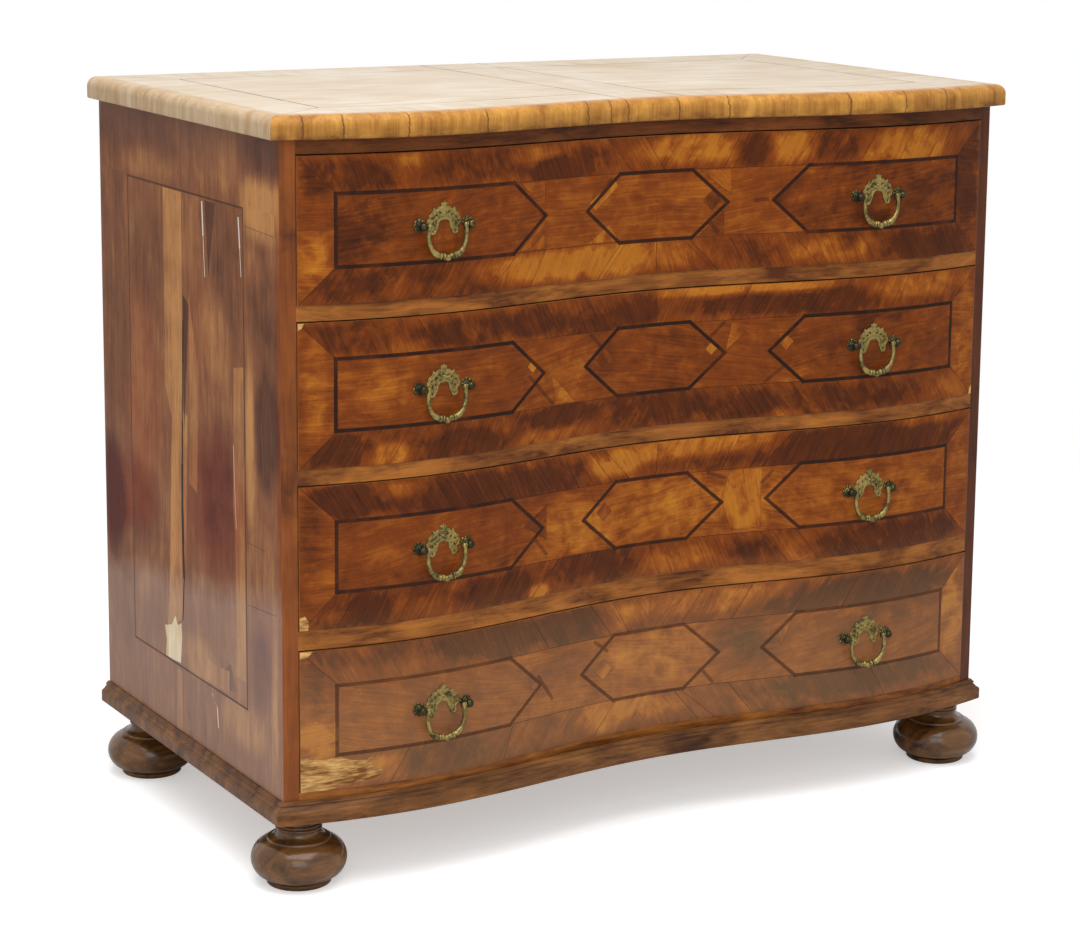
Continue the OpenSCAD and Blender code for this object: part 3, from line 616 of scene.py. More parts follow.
# Smears are (across, up, half width, half height, tone), with dark wood above 0 and sapwood below
SMEARS = {
    1: [(-468, 66, 69, 20, 0.7), (-389, 76, 14, 20, -0.5), (-275, 71, 96, 18, 0.5), (-163, 53, 34, 18, 1),
        (-114, 66, 42, 18, 0.7), (-202, 78, 38, 10, -0.6), (-181, -67, 100, 19, -0.9), (-66, -68, 45, 28, -0.8),
        (-469, -66, 52, 17, 0.35), (-509, 68, 17, 26, 0.6), (-513, -35, 18, 26, -0.5), (-457, 6, 37, 41, 0.5),
        (56, 75, 72, 19, -0.8), (150, 69, 28, 20, 0.9), (206, 74, 33, 20, -0.9), (283, 72, 42, 20, 0.5),
        (392, 67, 73, 23, -0.7), (506, 33, 25, 87, 0.8), (4, -66, 70, 20, -0.6), (139, -66, 75, 17, 0.2),
        (276, -72, 67, 17, -0.7), (287, -63, 20, 13, 0.7), (443, -76, 95, 21, 0.7)],
    2: [(-467, 75, 69, 20, 0.5), (-309, 69, 72, 18, 0.55), (-202, 71, 34, 18, 1), (-86, 61, 75, 19, 0.5),
        (-419, 4, 47, 26, -0.4), (-480, -74, 39, 18, 0.8), (-413, -82, 34, 15, -0.8), (-308, -79, 80, 18, 0.6),
        (-160, -85, 77, 12, -0.5), (-160, -60, 54, 14, 0.8), (-511, 11, 14, 59, -0.4), (-142, -4, 46, 38, -0.3),
        (-21, 75, 27, 20, 0.5), (147, 88, 126, 8, -0.9), (151, 68, 85, 14, 0.8), (273, 65, 67, 18, 0.7),
        (328, 44, 16, 24, 1), (430, 77, 108, 17, -0.6), (512, -8, 20, 71, -0.3), (5, -67, 63, 21, 0.35),
        (126, -73, 53, 19, 0.6), (278, -73, 136, 17, 0.45), (495, -77, 36, 22, -0.4), (197, -88, 15, 10, -0.6)],
    3: [(-469, 73, 50, 19, 0.9), (-407, 79, 39, 11, -0.6), (-244, 65, 141, 25, 0.8), (-61, 71, 41, 16, -1),
        (-448, -71, 28, 19, 0.8), (-381, -79, 41, 16, -0.2), (-261, -72, 57, 19, 0.8), (-186, -85, 16, 10, -1),
        (-517, 28, 15, 62, 0.3), (-502, -35, 24, 28, -0.3), (-381, -1, 116, 38, -0.1), (-126, -8, 59, 39, -0.4),
        (-125, -63, 59, 20, 0.3), (70, 84, 118, 17, -0.7), (78, 62, 46, 13, 0.4), (334, 66, 184, 25, 0.75),
        (-60, -69, 60, 21, 0.5), (44, -74, 60, 16, -0.45), (150, -66, 50, 14, 0.35), (235, -75, 30, 21, -0.6),
        (377, -72, 143, 22, 0.7), (512, -25, 23, 84, -0.3),
        (35, 7, 80, 37, -0.25), (151, 1, 42, 35, -0.3), (336, 2, 145, 39, -0.15), (442, 88, 74, 8, -0.5)],
    4: [(-434, 85, 98, 16, 0.3), (-256, 74, 74, 23, 0.9), (-127, 69, 59, 20, 0.8), (-53, 70, 34, 20, -0.5),
        (-508, -22, 27, 25, -0.7), (-425, -71, 29, 16, -0.7), (-335, -72, 73, 20, 0.35), (-74, -64, 38, 24, -0.8),
        (-510, 47, 17, 41, 0.2), (-138, 15, 55, 30, 0.3), (103, 76, 119, 17, -0.7), (329, 64, 150, 22, 1),
        (505, 14, 26, 56, -0.6), (381, 28, 94, 18, 0.4), (4, -62, 59, 17, -0.6), (341, -64, 165, 18, 0.7),
        (155, 15, 50, 35, 0.5), (25, 8, 80, 38, -0.2)],
}
# Brown straps that cross the points, and small let-in squares as (across, up, half size)
STRAPS = {
    1: [((-88, 20), (-70, 40)), ((84, -26), (98, -42)), ((150, 0), (172, 2))],
    2: [((-206, 0), (-164, -44)), ((-104, 44), (-81, 22)), ((111, 44), (89, 24)), ((171, -44), (205, -20))],
    3: [((-196, -10), (-172, -38)), ((116, 34), (88, 44)), ((188, 40), (170, 22))],
    4: [((-186, 12), (-160, -26)), ((-90, 42), (-66, 24)), ((84, -20), (104, -44))],
}
# How dark the inlay lines of each front still are
INLAY_KEPT = {1: 0.99, 2: 1.0, 3: 0.98, 4: 0.915}
# Tones of the left panel, the hexagon and the right panel of each front
PANEL_TONES = {1: (0.18, -0.06, 0.32), 2: (0.1, 0.16, 0.2), 3: (0.16, -0.14, -0.06), 4: (-0.04, -0.12, -0.04)}
# Their corners, from the middle of the front, and half their height
PANEL_END, PANEL_FLAT, PANEL_POINT = 485, 231, 179
HEX_POINT, HEX_FLAT, BAND = 111, 57, 46


def diamond(x, y, half):
    """A square let in on its point."""
    return [(x + half, y), (x, y + half), (x - half, y), (x, y - half)]


# Let-in squares, triangles and strips by the points of the outlines, each with its tone
PATCHES = {
    1: [([(-107, 10), (-97, -1), (-59, 28), (-66, 39)], -0.42), ([(-109, -44), (-57, -44), (-74, -21)], -0.6),
        (diamond(88, 3, 14), 0.32), ([(70, 44), (116, 10), (116, 44)], -0.3),
        ([(70, -44), (106, -44), (106, -12)], 0.15),
        ([(-221, 44), (-181, 8), (-181, 44)], -0.22), ([(-221, -44), (-181, -44), (-181, -6)], -0.3)],
    2: [(diamond(-199, 11, 9), -0.62), (diamond(91, 8, 9), -0.75), (diamond(203, 11, 12), -0.36),
        (diamond(-78, 8, 15), 0.3),
        ([(112, 2), (150, 36), (122, 44)], -0.2), ([(-168, -2), (-128, -44), (-160, -44)], -0.25)],
    3: [([(-211, 7), (-174, -16), (-174, 30)], 0.4), (diamond(-76, 7, 13), 0.2),
        ([(123, 44), (110, 6), (126, -40), (172, -40), (170, 6), (172, 44)], -0.32)],
    4: [(diamond(-74, 0, 15), -0.5), (diamond(-186, -2, 12), -0.22), ([(188, 18), (226, 44), (208, 2)], -0.2)],
}


def figure_corners(n):
    """The three inlaid outlines of a front: two pointed panels and the hexagon between them."""
    left = [(-PANEL_END, -BAND), (-PANEL_FLAT, -BAND), (-PANEL_POINT, 0), (-PANEL_FLAT, BAND), (-PANEL_END, BAND)]
    right = [(-x, y) for x, y in reversed(left)]
    low = [(-HEX_POINT, 0), (-HEX_FLAT, -BAND), (HEX_FLAT, -BAND)]
    six = low + [(-x, -y) for x, y in low]
    drift = random.Random(n * 7)
    shift = [(drift.uniform(-2, 2), drift.uniform(-1, 1)) for _ in range(3)]
    return [metres((x + dx, y + dy) for x, y in shape) for shape, (dx, dy) in zip((left, six, right), shift)]


def front_zone(c):
    """The part of a front that a point lies in."""
    u, v = c.x / MM, c.y / MM
    past = abs(u) - PANEL_END
    if past > 0 and past > (abs(v) - BAND) * 50 / 47:
        return "left" if u < 0 else "right"
    return "top" if v > BAND else "bottom" if v < -BAND else "middle"


def smear_field(rows, zone_of):
    """Sums soft smears, each kept to the zone that its middle lies in."""
    placed = [(zone_of(Vector((x * MM, y * MM))), x * MM, y * MM, w * MM, h * MM, t) for x, y, w, h, t in rows]

    def field(u, v, zone):
        total = 0.0
        for own, x, y, w, h, t in placed:
            if own == zone:
                far = math.hypot((u - x) / w, (v - y) / h)
                total += t * min(1.0, max(0.0, (1.4 - far) / 0.75))
        return max(-1.0, min(1.0, total))

    return field


# Veneer that is lost from the lowest front, and from the corners of the fronts
LOSSES = {
    1: [],
    2: [[(-534, 93), (-534, 84), (-529, 87), (-526, 93)], [(528, -93), (534, -93), (534, -80), (530, -84)]],
    3: [[(-534, -93), (-534, -76), (-527, -74), (-522, -82), (-523, -93)]],
    4: [[(-534, 93), (-534, 84), (-524, 86), (-517, 93)],
        [(-534, -93), (-534, -46), (-505, -52), (-482, -50), (-466, -56), (-447, -58), (-438, -53), (-441, -64),
         (-428, -72), (-424, -79), (-436, -84), (-470, -87), (-500, -93)]],
}


def front_leaf(n, look):
    """The marquetry of one drawer front."""
    low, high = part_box(f"drawer_{n}_front")
    middle = (low.z + high.z) / 2
    edge = high.z - middle
    leaf = Leaf((low.x, high.x), (-edge, edge), 6.2 * MM)
    outlines = figure_corners(n)
    for corners in outlines:
        leaf.ring(corners, look.inlay_width, INLAY_KEPT[n])
    joint = look.joint_width
    for joints, side in ((UPPER_JOINTS[n], 1), (LOWER_JOINTS[n], -1)):
        band = side * BAND * MM
        for outer, inner in joints:
            leaf.strip((inner * MM, band), (outer * MM, side * edge), joint, JOINT_LINE)
        for s in (-1, 1):
            leaf.strip((s * PANEL_END * MM, band), (s * high.x, side * edge), joint, JOINT_LINE)
            leaf.strip((s * HEX_FLAT * MM, band), (s * PANEL_FLAT * MM, band), joint, JOINT_LINE)
    for strap in STRAPS[n]:
        leaf.strip(*metres(strap), 5.2 * MM, STRAP_LINE)
    patches = [(metres(shape), tone) for shape, tone in PATCHES[n]]
    for shape, _ in patches:
        leaf.ring(shape, joint * 0.8, PATCH_LINE)
    losses = [metres(shape) for shape in LOSSES[n]]
    for shape in losses:
        leaf.trace(shape, 6 * MM)
    luck = random.Random(n)
    tones = [luck.uniform(-0.16, 0.16) for _ in range(80)]
    turns = [luck.uniform(-7, 7) for _ in range(80)]

    def piece(c):
        zone = front_zone(c)
        u, v = c.x / MM, c.y / MM
        if zone in ("top", "bottom"):
            joints = UPPER_JOINTS[n] if zone == "top" else LOWER_JOINTS[n]
            share = (abs(v) - BAND) / (edge / MM - BAND)
            spot = sum(1 for outer, inner in joints if inner + (outer - inner) * share < u)
            index = spot + (20 if zone == "top" else 40)
            lean = 60 * (1 if (u > 0) == (v > 0) else -1)
            return zone, 0.16 + tones[index], lean + turns[index], index + n
        if zone in ("left", "right"):
            index = 60 + (v > 0) + 2 * (u > 0)
            return zone, 0.05 + tones[index], turns[index], index + n
        for index, (shape, tone) in enumerate(patches):
            if inside(c, shape):
                return zone, tone, 40 + 30 * index, 9 + n + index
        for index, corners in enumerate(outlines):
            if inside(c, corners):
                return zone, PANEL_TONES[n][index], turns[index] * 1.6, index + n
        index = 4 + (u > 0)
        return zone, -0.02 + tones[index], turns[index] * 1.5, index + n

    def lie(u, v, h):
        lean = slope(u)
        size = np.sqrt(1 + lean * lean)
        y = FRONT - swing(u) - PROUD
        return np.stack([u - lean / size * h, y - h / size, v + middle], 1)

    def lost(c):
        return any(inside(c, shape) for shape in losses)

    return leaf.lay(f"front_veneer_{n}", lie, piece, smear_field(SMEARS[n], front_zone), 0.0006, look.sheet, lost)


class COMMODE_OT_drawer_fronts(bpy.types.Operator):
    """Lays the marquetry on the four drawer fronts"""

    bl_idname = "commode.drawer_fronts"
    bl_label = "Drawer fronts"

    def execute(self, context):
        look = context.scene.commode_veneer
        walnut = front_finish(look)
        bare = (look.bare, screen(112, 68, 30), screen(60, 36, 20))
        ground = board_finish("bare ground", "X", bare, 0.7, 2.6, 2.0)
        for n in DRAWERS:
            leaf = front_leaf(n, look)
            leaf.data.materials.append(walnut)
            leaf.data.materials.append(ground)
            stand_for(leaf, f"drawer_{n}", "walnut_front")
        return {"FINISHED"}


# Marks of the left side as (depth, height) in millimetres. The panel's outline runs between two corners.
SIDE_CORNERS = metres(((-169, 214), (218, 873)))
SIDE_SMEARS = [
    (200, 940, 150, 40, 0.3), (-230, 945, 60, 30, 0.7), (-110, 925, 40, 40, -0.3), (150, 900, 90, 20, -0.3),
    (280, 600, 50, 330, 0.2), (290, 410, 40, 70, 0.8), (190, 410, 60, 60, 0.3), (185, 560, 40, 120, -0.25),
    (130, 760, 60, 60, 0.3), (-10, 820, 30, 60, -0.2), (-110, 790, 40, 80, 0.35), (-80, 700, 40, 50, -0.4),
    (-80, 480, 70, 90, 0.5), (-145, 430, 9, 190, -0.6), (-230, 760, 40, 60, 0.35), (-225, 440, 40, 90, -0.1),
    (-10, 240, 60, 30, -0.5), (-160, 190, 60, 30, -0.5), (250, 300, 70, 120, 0.1), (120, 250, 90, 40, 0.1),
    (-186, 560, 12, 110, -0.9), (-238, 596, 34, 66, 1.1), (-230, 880, 60, 38, -0.9), (-200, 800, 30, 20, -0.3),
    (-257, 250, 8, 110, -0.8), (-217, 282, 28, 50, 0.6), (-250, 700, 30, 40, 0.3),
]
# Where the sides are red brown
SIDE_WARM = [
    (300, 410, 60, 62, 1.3), (205, 425, 60, 50, 0.7), (170, 560, 60, 150, 0.5), (-75, 470, 80, 90, 0.9),
    (-20, 690, 40, 90, 0.25), (-215, 290, 35, 60, 0.7), (36, 420, 24, 100, 0.3), (-274, 560, 8, 300, 0.6),
]
# Planks, wedges and patches of the sides by their corners, each with its tone
SIDE_PATCHES = [
    ([(93, 871), (30, 871), (33, 560), (44, 380), (44, 282), (96, 262), (88, 330), (72, 560), (93, 600)], -0.62),
    ([(30, 735), (9, 722), (18, 640), (31, 540)], 0.85),
    ([(32, 575), (18, 570), (25, 430), (40, 330), (42, 400)], -0.6),
    ([(9, 735), (-20, 640), (-12, 470), (15, 480), (10, 600)], -0.35),
    ([(-48, 869), (-82, 869), (-58, 770)], 0.9),
    ([(-136, 662), (-166, 668), (-166, 250), (-134, 250), (-142, 380), (-130, 480)], -0.45),
    ([(-24, 252), (-60, 246), (-112, 250), (-110, 219), (-24, 219)], -0.5),
    ([(47, 208), (66, 208), (70, 96), (47, 96)], -0.4),
    ([(-100, 252), (-116, 262), (-136, 230), (-100, 219)], 0.6),
]


# Open joints of both sides, and painted highlights with one scratch, lost veneer and the long split of the left one.
# The painted highlights on lifted veneer edges and the scratch end in their width, and the split is (depth, height,
# width).
SIDE_JOINTS = [((90, 949), (91, 873)), ((47, 230), (47, 100)), ((104, 420), (104, 217)), ((-172, 851), (-262, 848)),
               ((-170, 356), (-262, 363)), ((-26, 866), (-50, 782)), ((-172, 440), (-230, 440))]
SIDE_HIGHLIGHTS_AND_SCRATCH = [((-39, 867), (-42, 822), 4.0), ((-42, 822), (-46, 768), 1.8), ((-155, 860), (-159, 820), 3.6),
                  ((-159, 820), (-162, 784), 1.6), ((-132, 560), (-139, 450), 1.0)]
SIDE_LOSSES = [
    [(47, 256), (50, 276), (62, 270), (70, 282), (84, 266), (96, 262), (108, 259), (104, 240), (106, 216), (80, 216),
     (53, 218)],
    [(-51, 204), (-55, 204), (-68, 190), (-71, 162), (-75, 160), (-72, 188), (-64, 196)],
]
SIDE_SPLIT = [(27, 730, 1.4), (29, 700, 4.5), (32, 640, 3.0), (36, 560, 4.6), (38, 500, 6.5), (40, 440, 7.5),
              (39, 390, 6.0), (37, 340, 3.4), (44, 281, 2.0)]


def side_zone(c):
    (y0, z0), (y1, z1) = SIDE_CORNERS
    return "panel" if y0 < c.x < y1 and z0 < c.y < z1 else "border"


def side_leaf(side, look):
    """Veneer on one outer side; the left one has its split, its loss and its open joints."""
    sign = SIDES[side]
    gap = 0.4 * MM
    leaf = Leaf((FRONT + gap, REAR - gap), (CASE_LOW, CASE_HIGH), 8.5 * MM)
    (y0, z0), (y1, z1) = SIDE_CORNERS
    leaf.ring([(y0, z0), (y1, z0), (y1, z1), (y0, z1)], 3 * MM, SIDE_INLAY)
    for ends in SIDE_JOINTS:
        leaf.strip(*metres(ends), 0.9 * MM, JOINT_LINE)
    patches = [(metres(shape), tone) for shape, tone in SIDE_PATCHES]
    for shape, _ in patches:
        leaf.trace(shape, 13 * MM)
    losses = []
    if side == "left":
        # Painted highlights: near-white strips for light on lifted veneer edges, and one real bright scratch
        for *ends, wide in SIDE_HIGHLIGHTS_AND_SCRATCH:
            leaf.strip(*metres(ends), wide * MM, HIGHLIGHT_AND_SCRATCH_LINE)
        for (y, z, wide), (y2, z2, _) in zip(SIDE_SPLIT, SIDE_SPLIT[1:]):
            leaf.strip(*metres(((y, z), (y2, z2))), wide * MM, SPLIT_LINE)
        losses = [metres(shape) for shape in SIDE_LOSSES]
    for shape in losses:
        leaf.trace(shape, 8 * MM)
    field = smear_field(SIDE_SMEARS, side_zone)

    def piece(c):
        zone = side_zone(c)
        for index, (shape, tone) in enumerate(patches):
            if inside(c, shape):
                return "patch", tone, 89 + index % 3, 15 + index + sign
        if zone == "panel":
            index = sum(1 for y in (47, 104) if c.x > y * MM)
            return zone, (0.04, 0.0, 0.04)[index], 90 + index, index + sign
        across = c.y > z1 or c.y < z0
        return zone, 0.06, 88 if across else 91, 11 + sign

    def lie(u, v, h):
        return np.stack([sign * (HALF + h), u, v], 1)

    def lost(c):
        return any(inside(c, shape) for shape in losses)

    warm = smear_field(SIDE_WARM, lambda c: "all")
    return leaf.lay(f"side_veneer_{side}", lie, piece, field, 0.0006, look.sheet, lost, lambda u, v: warm(u, v, "all"))


def side_finish(timber):
    """Worn vertical walnut: warm in the middle, with tan streaks; a painted reflection makes it grey and hazy below,
    and painted shade darkens it under the top.
    """
    f = Finish("side veneer")
    point = f.place()
    y, z = f.axes(point)[1:]
    tone, line = f.value("tone"), f.value("line")
    figure, streak, pore = wood_layers(f, f.sheet("grain"))
    ragged = f.noise(f.sheet("grain").scaled(7, 60, 1), 5.0, 0.64, 0.5) * 1.2 + f.cloud(18, 4.0, 0.6) * 0.7
    cloud = f.cloud(9, 4.0, 0.6)
    smear = ((tone + ragged * (0.7 + abs(tone) * 1.1)) * 1.5).least(1.1).most(-1.1)
    depth = 0.47 + smear * 0.36 + figure * 0.36 + streak * 0.45 + cloud * 0.25
    stops = [(0.0, timber.side_light), (0.5, timber.side_mid), (0.95, timber.side_dark)]
    wood = f.ramp(depth.clip(), stops)
    rust = f.cloud(24, 4.0, 0.65)
    warm = (f.value("warm") + rust * 0.9 * f.value("warm").step(0.0, 0.4)).clip()
    deep = f.mix((tone + 0.2 + rust).clip(), timber.side_warm, timber.side_deep)
    wood = f.mix(warm * 0.92, wood, deep)
    # Painted reflection: the lower side is mixed towards pale grey for the white floor reflecting in it
    painted_floor_reflection = 1 - (z + y * 0.134 + cloud * 0.05).step(0.325, 0.365)
    wood = f.mix(painted_floor_reflection * 0.26, wood, screen(190, 172, 160))
    # Painted shade: the upper edge of the side, under the top's overhang, is mixed towards a dark grey brown
    wood = f.mix(z.step(0.90, 0.96) * 0.35, wood, screen(104, 76, 68))
    mark = f.noise(point.scaled(60, 60, 22), 4.0, 0.7).step(0.14, 0.2)
    wood = f.mix(mark * 0.3, wood, timber.side_dark)
    spots = f.cloud(170, 2.0, 0.7).step(0.25, 0.29)
    wood = f.mix(spots * 0.3, wood, timber.side_light)
    wood = f.mix(pore * 0.2, wood, timber.side_dark)
    colour = f.mix(line.step(0.2, 0.3) * 0.72, wood, screen(58, 36, 26))
    colour = f.mix(line.step(0.58, 0.6) * 0.9, colour, screen(30, 20, 12))
    # Painted highlights: near-white lines stand for light catching lifted veneer edges; one of them is a real bright
    # scratch
    colour = f.mix(line.step(0.76, 0.78) * 0.8, colour, screen(236, 224, 210))
    height = streak * 0.5 + figure * 0.6 - line.step(0.2, 0.6) * 1.5
    return f.done(colour, 0.34 + cloud * 0.2, height=height, depth=0.0006, gloss=0.05)


class COMMODE_OT_sides(bpy.types.Operator):
    """Lays the worn veneer on the two sides"""

    bl_idname = "commode.sides"
    bl_label = "Sides"

    def execute(self, context):
        look, timber = context.scene.commode_veneer, context.scene.commode_timber
        worn = side_finish(timber)
        pale = (screen(240, 234, 216), screen(206, 170, 112))
        ground = board_finish("side ground", "Z", pale, 0.75, 1.2, 1.2)
        for side in SIDES:
            leaf = side_leaf(side, look)
            leaf.data.materials.append(worn)
            leaf.data.materials.append(ground)
            stand_for(leaf, "carcass", "walnut_case")
        return {"FINISHED"}


# Inlay of the top: width of its border, half the field's width and half the width of the strip down its middle
TOP_BAND, TOP_FIELD, TOP_CENTRE = 85 * MM, 470 * MM, 48.5 * MM


class COMMODE_OT_top(bpy.types.Operator):
    """Makes the faded top with its crossbanding"""

    bl_idname = "commode.top"
    bl_label = "Top"

    def execute(self, context):
        low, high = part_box("top_board")
        inset = 7 * MM
        depth = REAR - (FRONT - swing(0.0, *TOP_LINE))
        leaf = Leaf((low.x, high.x), (0.0, depth), 12 * MM, rim=0.0)
        near, wide = depth - TOP_BAND + 10 * MM, TOP_FIELD
        leaf.ring([(-wide, TOP_BAND), (wide, TOP_BAND), (wide, near), (-wide, near)], 2.4 * MM, JOINT_LINE)
        for s in (-1, 1):
            leaf.strip((s * TOP_CENTRE, 0.0), (s * TOP_CENTRE, depth), 2.2 * MM, JOINT_LINE)
        for s in (-1, 1):
            for v, corner in ((0.0, TOP_BAND), (depth, near)):
                leaf.strip((s * wide, corner), (s * high.x, v), 1.0 * MM, JOINT_LINE)

        def front_line(u):
            return FRONT - swing(u, *TOP_LINE) + inset * np.sqrt(1 + slope(u, *TOP_LINE) ** 2)

        def lie(u, v, h):
            return np.stack([u, REAR - (REAR - front_line(u)) * v / depth, TOP_HIGH + h], 1)

        def piece(c):
            if abs(c.x) < TOP_FIELD and TOP_BAND < c.y < 520 * MM:
                index = 1 if c.x < -TOP_CENTRE else 2 if c.x < TOP_CENTRE else 3
                return "field", 0.0, 90 if index == 2 else 0, index
            upright = abs(c.x) > TOP_FIELD
            return "border", -0.1, 0 if upright else 90, 5 + upright

        board = leaf.lay("top_panel", lie, piece, lambda u, v, zone: 0.0, high.z - low.z, 0.0)
        board.data.materials.append(self.polish(context.scene.commode_timber))
        board.data.materials.append(board.data.materials[0])
        stand_for(board, "carcass", "walnut_top", "top_board")
        return {"FINISHED"}

    @staticmethod
    def polish(timber):
        f = Finish("faded top")
        line = f.value("line")
        figure, streak, pore = wood_layers(f, f.sheet("grain"))
        cloud = f.cloud(7, 4.0, 0.6)
        value = 0.42 + figure * 0.9 + streak * 0.35 + cloud * 0.9
        colour = f.mix(value.clip(), timber.top_light, timber.top_dark)
        colour = f.mix(pore * 0.15, colour, timber.top_dark)
        colour = f.mix(line.step(0.2, 0.3) * (0.85 + cloud * 2).clip(), colour, screen(70, 50, 36))
        return f.done(colour, 0.42 + cloud * 0.15, height=streak + figure, depth=0.0002, gloss=0.01)


def arc(centre, radius, start, stop, steps):
    """Points of an arc in a section."""
    turns = [math.radians(start + (stop - start) * i / steps) for i in range(steps + 1)]
    return [(centre[0] + radius * math.cos(t), centre[1] + radius * math.sin(t)) for t in turns]


def top_section():
    """Outer section of the lipping, from its upper to its lower edge, as distance out and height."""
    out, thick, large, small = 17 * MM, 30 * MM, 13 * MM, 3 * MM
    inner = -7 * MM
    return [(inner, 0), (inner, thick), *arc((out - large, thick - large), large, 90, 0, 20),
            *arc((out - small, small), small, 0, -90, 6)]


def base_section():
    """Section of the base moulding: bead, ovolo, fillet and fascia."""
    high, out, face, bead = 29 * MM, 13 * MM, 15 * MM, 1.4 * MM
    ledge = out - 8 * MM
    shoulder = 4.5 * MM
    return [(0, 0), (0, high), (ledge - bead, high), *arc((ledge, high - 2.5 * bead), bead, 110, -60, 12),
            (ledge + 0.6 * MM, high - 4.4 * bead), (ledge + 2.4 * MM, high - 5.6 * bead),
            *arc((out - shoulder, face - 1 * MM), shoulder, 80, 0, 12),
            (out, 1 * MM), (out - 1 * MM, 0)]


def node_tree(name, **sockets):
    """An empty Geometry Nodes tree that takes geometry, a material and the named inputs."""
    tree = bpy.data.node_groups.new(name, "GeometryNodeTree")
    for label, kind in {"Geometry": "Geometry", **sockets, "Material": "Material"}.items():
        tree.interface.new_socket(label, in_out="INPUT", socket_type=f"NodeSocket{kind}")
    tree.interface.new_socket("Geometry", in_out="OUTPUT", socket_type="NodeSocketGeometry")
    start = tree.nodes.new("NodeGroupInput")
    return tree, {s.name: Wire(tree, s) for s in start.outputs if s.name}


def instances(tree, points, shape, turn):
    """Sets the shape at every point, turned about the upright."""
    angles = add(tree, "ShaderNodeCombineXYZ", sockets=(0.0, 0.0, turn))
    rotation = add(tree, "FunctionNodeEulerToRotation", sockets=(angles,))
    points = add(tree, "GeometryNodeMeshToPoints", sockets={"Mesh": points})
    sockets = {"Points": points, "Instance": shape, "Rotation": rotation}
    return add(tree, "GeometryNodeInstanceOnPoints", sockets=sockets)


def close_tree(tree, shape, material):
    """Ends a tree in realized, smooth geometry with its material."""
    smooth = add(tree, "GeometryNodeSetShadeSmooth", sockets={"Geometry": shape})
    real = add(tree, "GeometryNodeRealizeInstances", sockets={"Geometry": smooth})
    painted = add(tree, "GeometryNodeSetMaterial", sockets={"Geometry": real, "Material": material})
    end = tree.nodes.new("NodeGroupOutput")
    tree.links.new(painted.socket, end.inputs[0])
    return tree


def moulding_tree():
    """Draws a section along a level path, with its outer side to the right of the path."""
    tree, ins = node_tree("moulding along a path", Section="Object")
    path = add(tree, "GeometryNodeMeshToCurve", sockets={"Mesh": ins["Geometry"]})
    path = add(tree, "GeometryNodeSetCurveNormal", {"mode": "Z_UP"}, {"Curve": path})
    info = add(tree, "GeometryNodeObjectInfo", sockets={"Object": ins["Section"]}, out="Geometry")
    section = add(tree, "GeometryNodeMeshToCurve", sockets={"Mesh": info})
    run = add(tree, "GeometryNodeCurveToMesh", sockets={"Curve": path, "Profile Curve": section})
    return close_tree(tree, run, ins["Material"])


def bar_tree():
    """Draws a round bar along a path, as thick as the path's thickness attribute says."""
    tree, ins = node_tree("bar along a path", Sides="Int")
    path = add(tree, "GeometryNodeMeshToCurve", sockets={"Mesh": ins["Geometry"]})
    thick = add(tree, "GeometryNodeInputNamedAttribute", {"data_type": "FLOAT"}, {"Name": "thickness"})
    ring = add(tree, "GeometryNodeCurvePrimitiveCircle", sockets={"Resolution": ins["Sides"], "Radius": 1.0})
    sockets = {"Curve": path, "Profile Curve": ring, "Scale": thick, "Fill Caps": True}
    bar = add(tree, "GeometryNodeCurveToMesh", sockets=sockets)
    return close_tree(tree, bar, ins["Material"])


def fittings_tree():
    """Sets one fitting at every point, turned about the upright by the point's turn attribute."""
    tree, ins = node_tree("fittings at points", Fitting="Object")
    turn = add(tree, "GeometryNodeInputNamedAttribute", {"data_type": "FLOAT"}, {"Name": "turn"})
    fitting = add(tree, "GeometryNodeObjectInfo", sockets={"Object": ins["Fitting"]}, out="Geometry")
    return close_tree(tree, instances(tree, ins["Geometry"], fitting, turn), ins["Material"])


def petal_tree():
    """Sets petals evenly round a centre, in the plane that faces the front."""
    tree, ins = node_tree("petals round a centre", Petals="Int", Ring="Float")
    ring = add(tree, "GeometryNodeMeshCircle", sockets={"Vertices": ins["Petals"], "Radius": ins["Ring"]})
    index = add(tree, "GeometryNodeInputIndex")
    placed = instances(tree, ring, ins["Geometry"], index * (2 * math.pi) / ins["Petals"])
    upright = add(tree, "GeometryNodeTransform", sockets={"Geometry": placed, "Rotation": (math.radians(90), 0, 0)})
    return close_tree(tree, upright, ins["Material"])


def grow(name, mesh, tree, **inputs):
    """Runs a tree on a mesh and keeps the result as plain mesh."""
    thing = new_object(name, mesh)
    modifier = thing.modifiers.new("shape", "NODES")
    modifier.node_group = tree
    for item in tree.interface.items_tree:
        if item.item_type == "SOCKET" and item.in_out == "INPUT" and item.name in inputs:
            modifier[item.identifier] = inputs[item.name]
    graph = bpy.context.evaluated_depsgraph_get()
    made = bpy.data.meshes.new_from_object(thing.evaluated_get(graph))
    thing.modifiers.remove(modifier)
    thing.data = made
    made.name = name
    if not made.polygons:
        raise RuntimeError(f"{name} came out empty")
    return thing


def path_mesh(points, closed=False, **values):
    """A line of points with one value list for each named attribute."""
    mesh = bpy.data.meshes.new("path")
    edges = [(i, i + 1) for i in range(len(points) - 1)]
    if closed:
        edges.append((len(points) - 1, 0))
    mesh.from_pydata([tuple(p) for p in points], edges, [])
    for name, numbers in values.items():
        mesh.attributes.new(name, "FLOAT", "POINT").data.foreach_set("value", list(numbers))
    return mesh


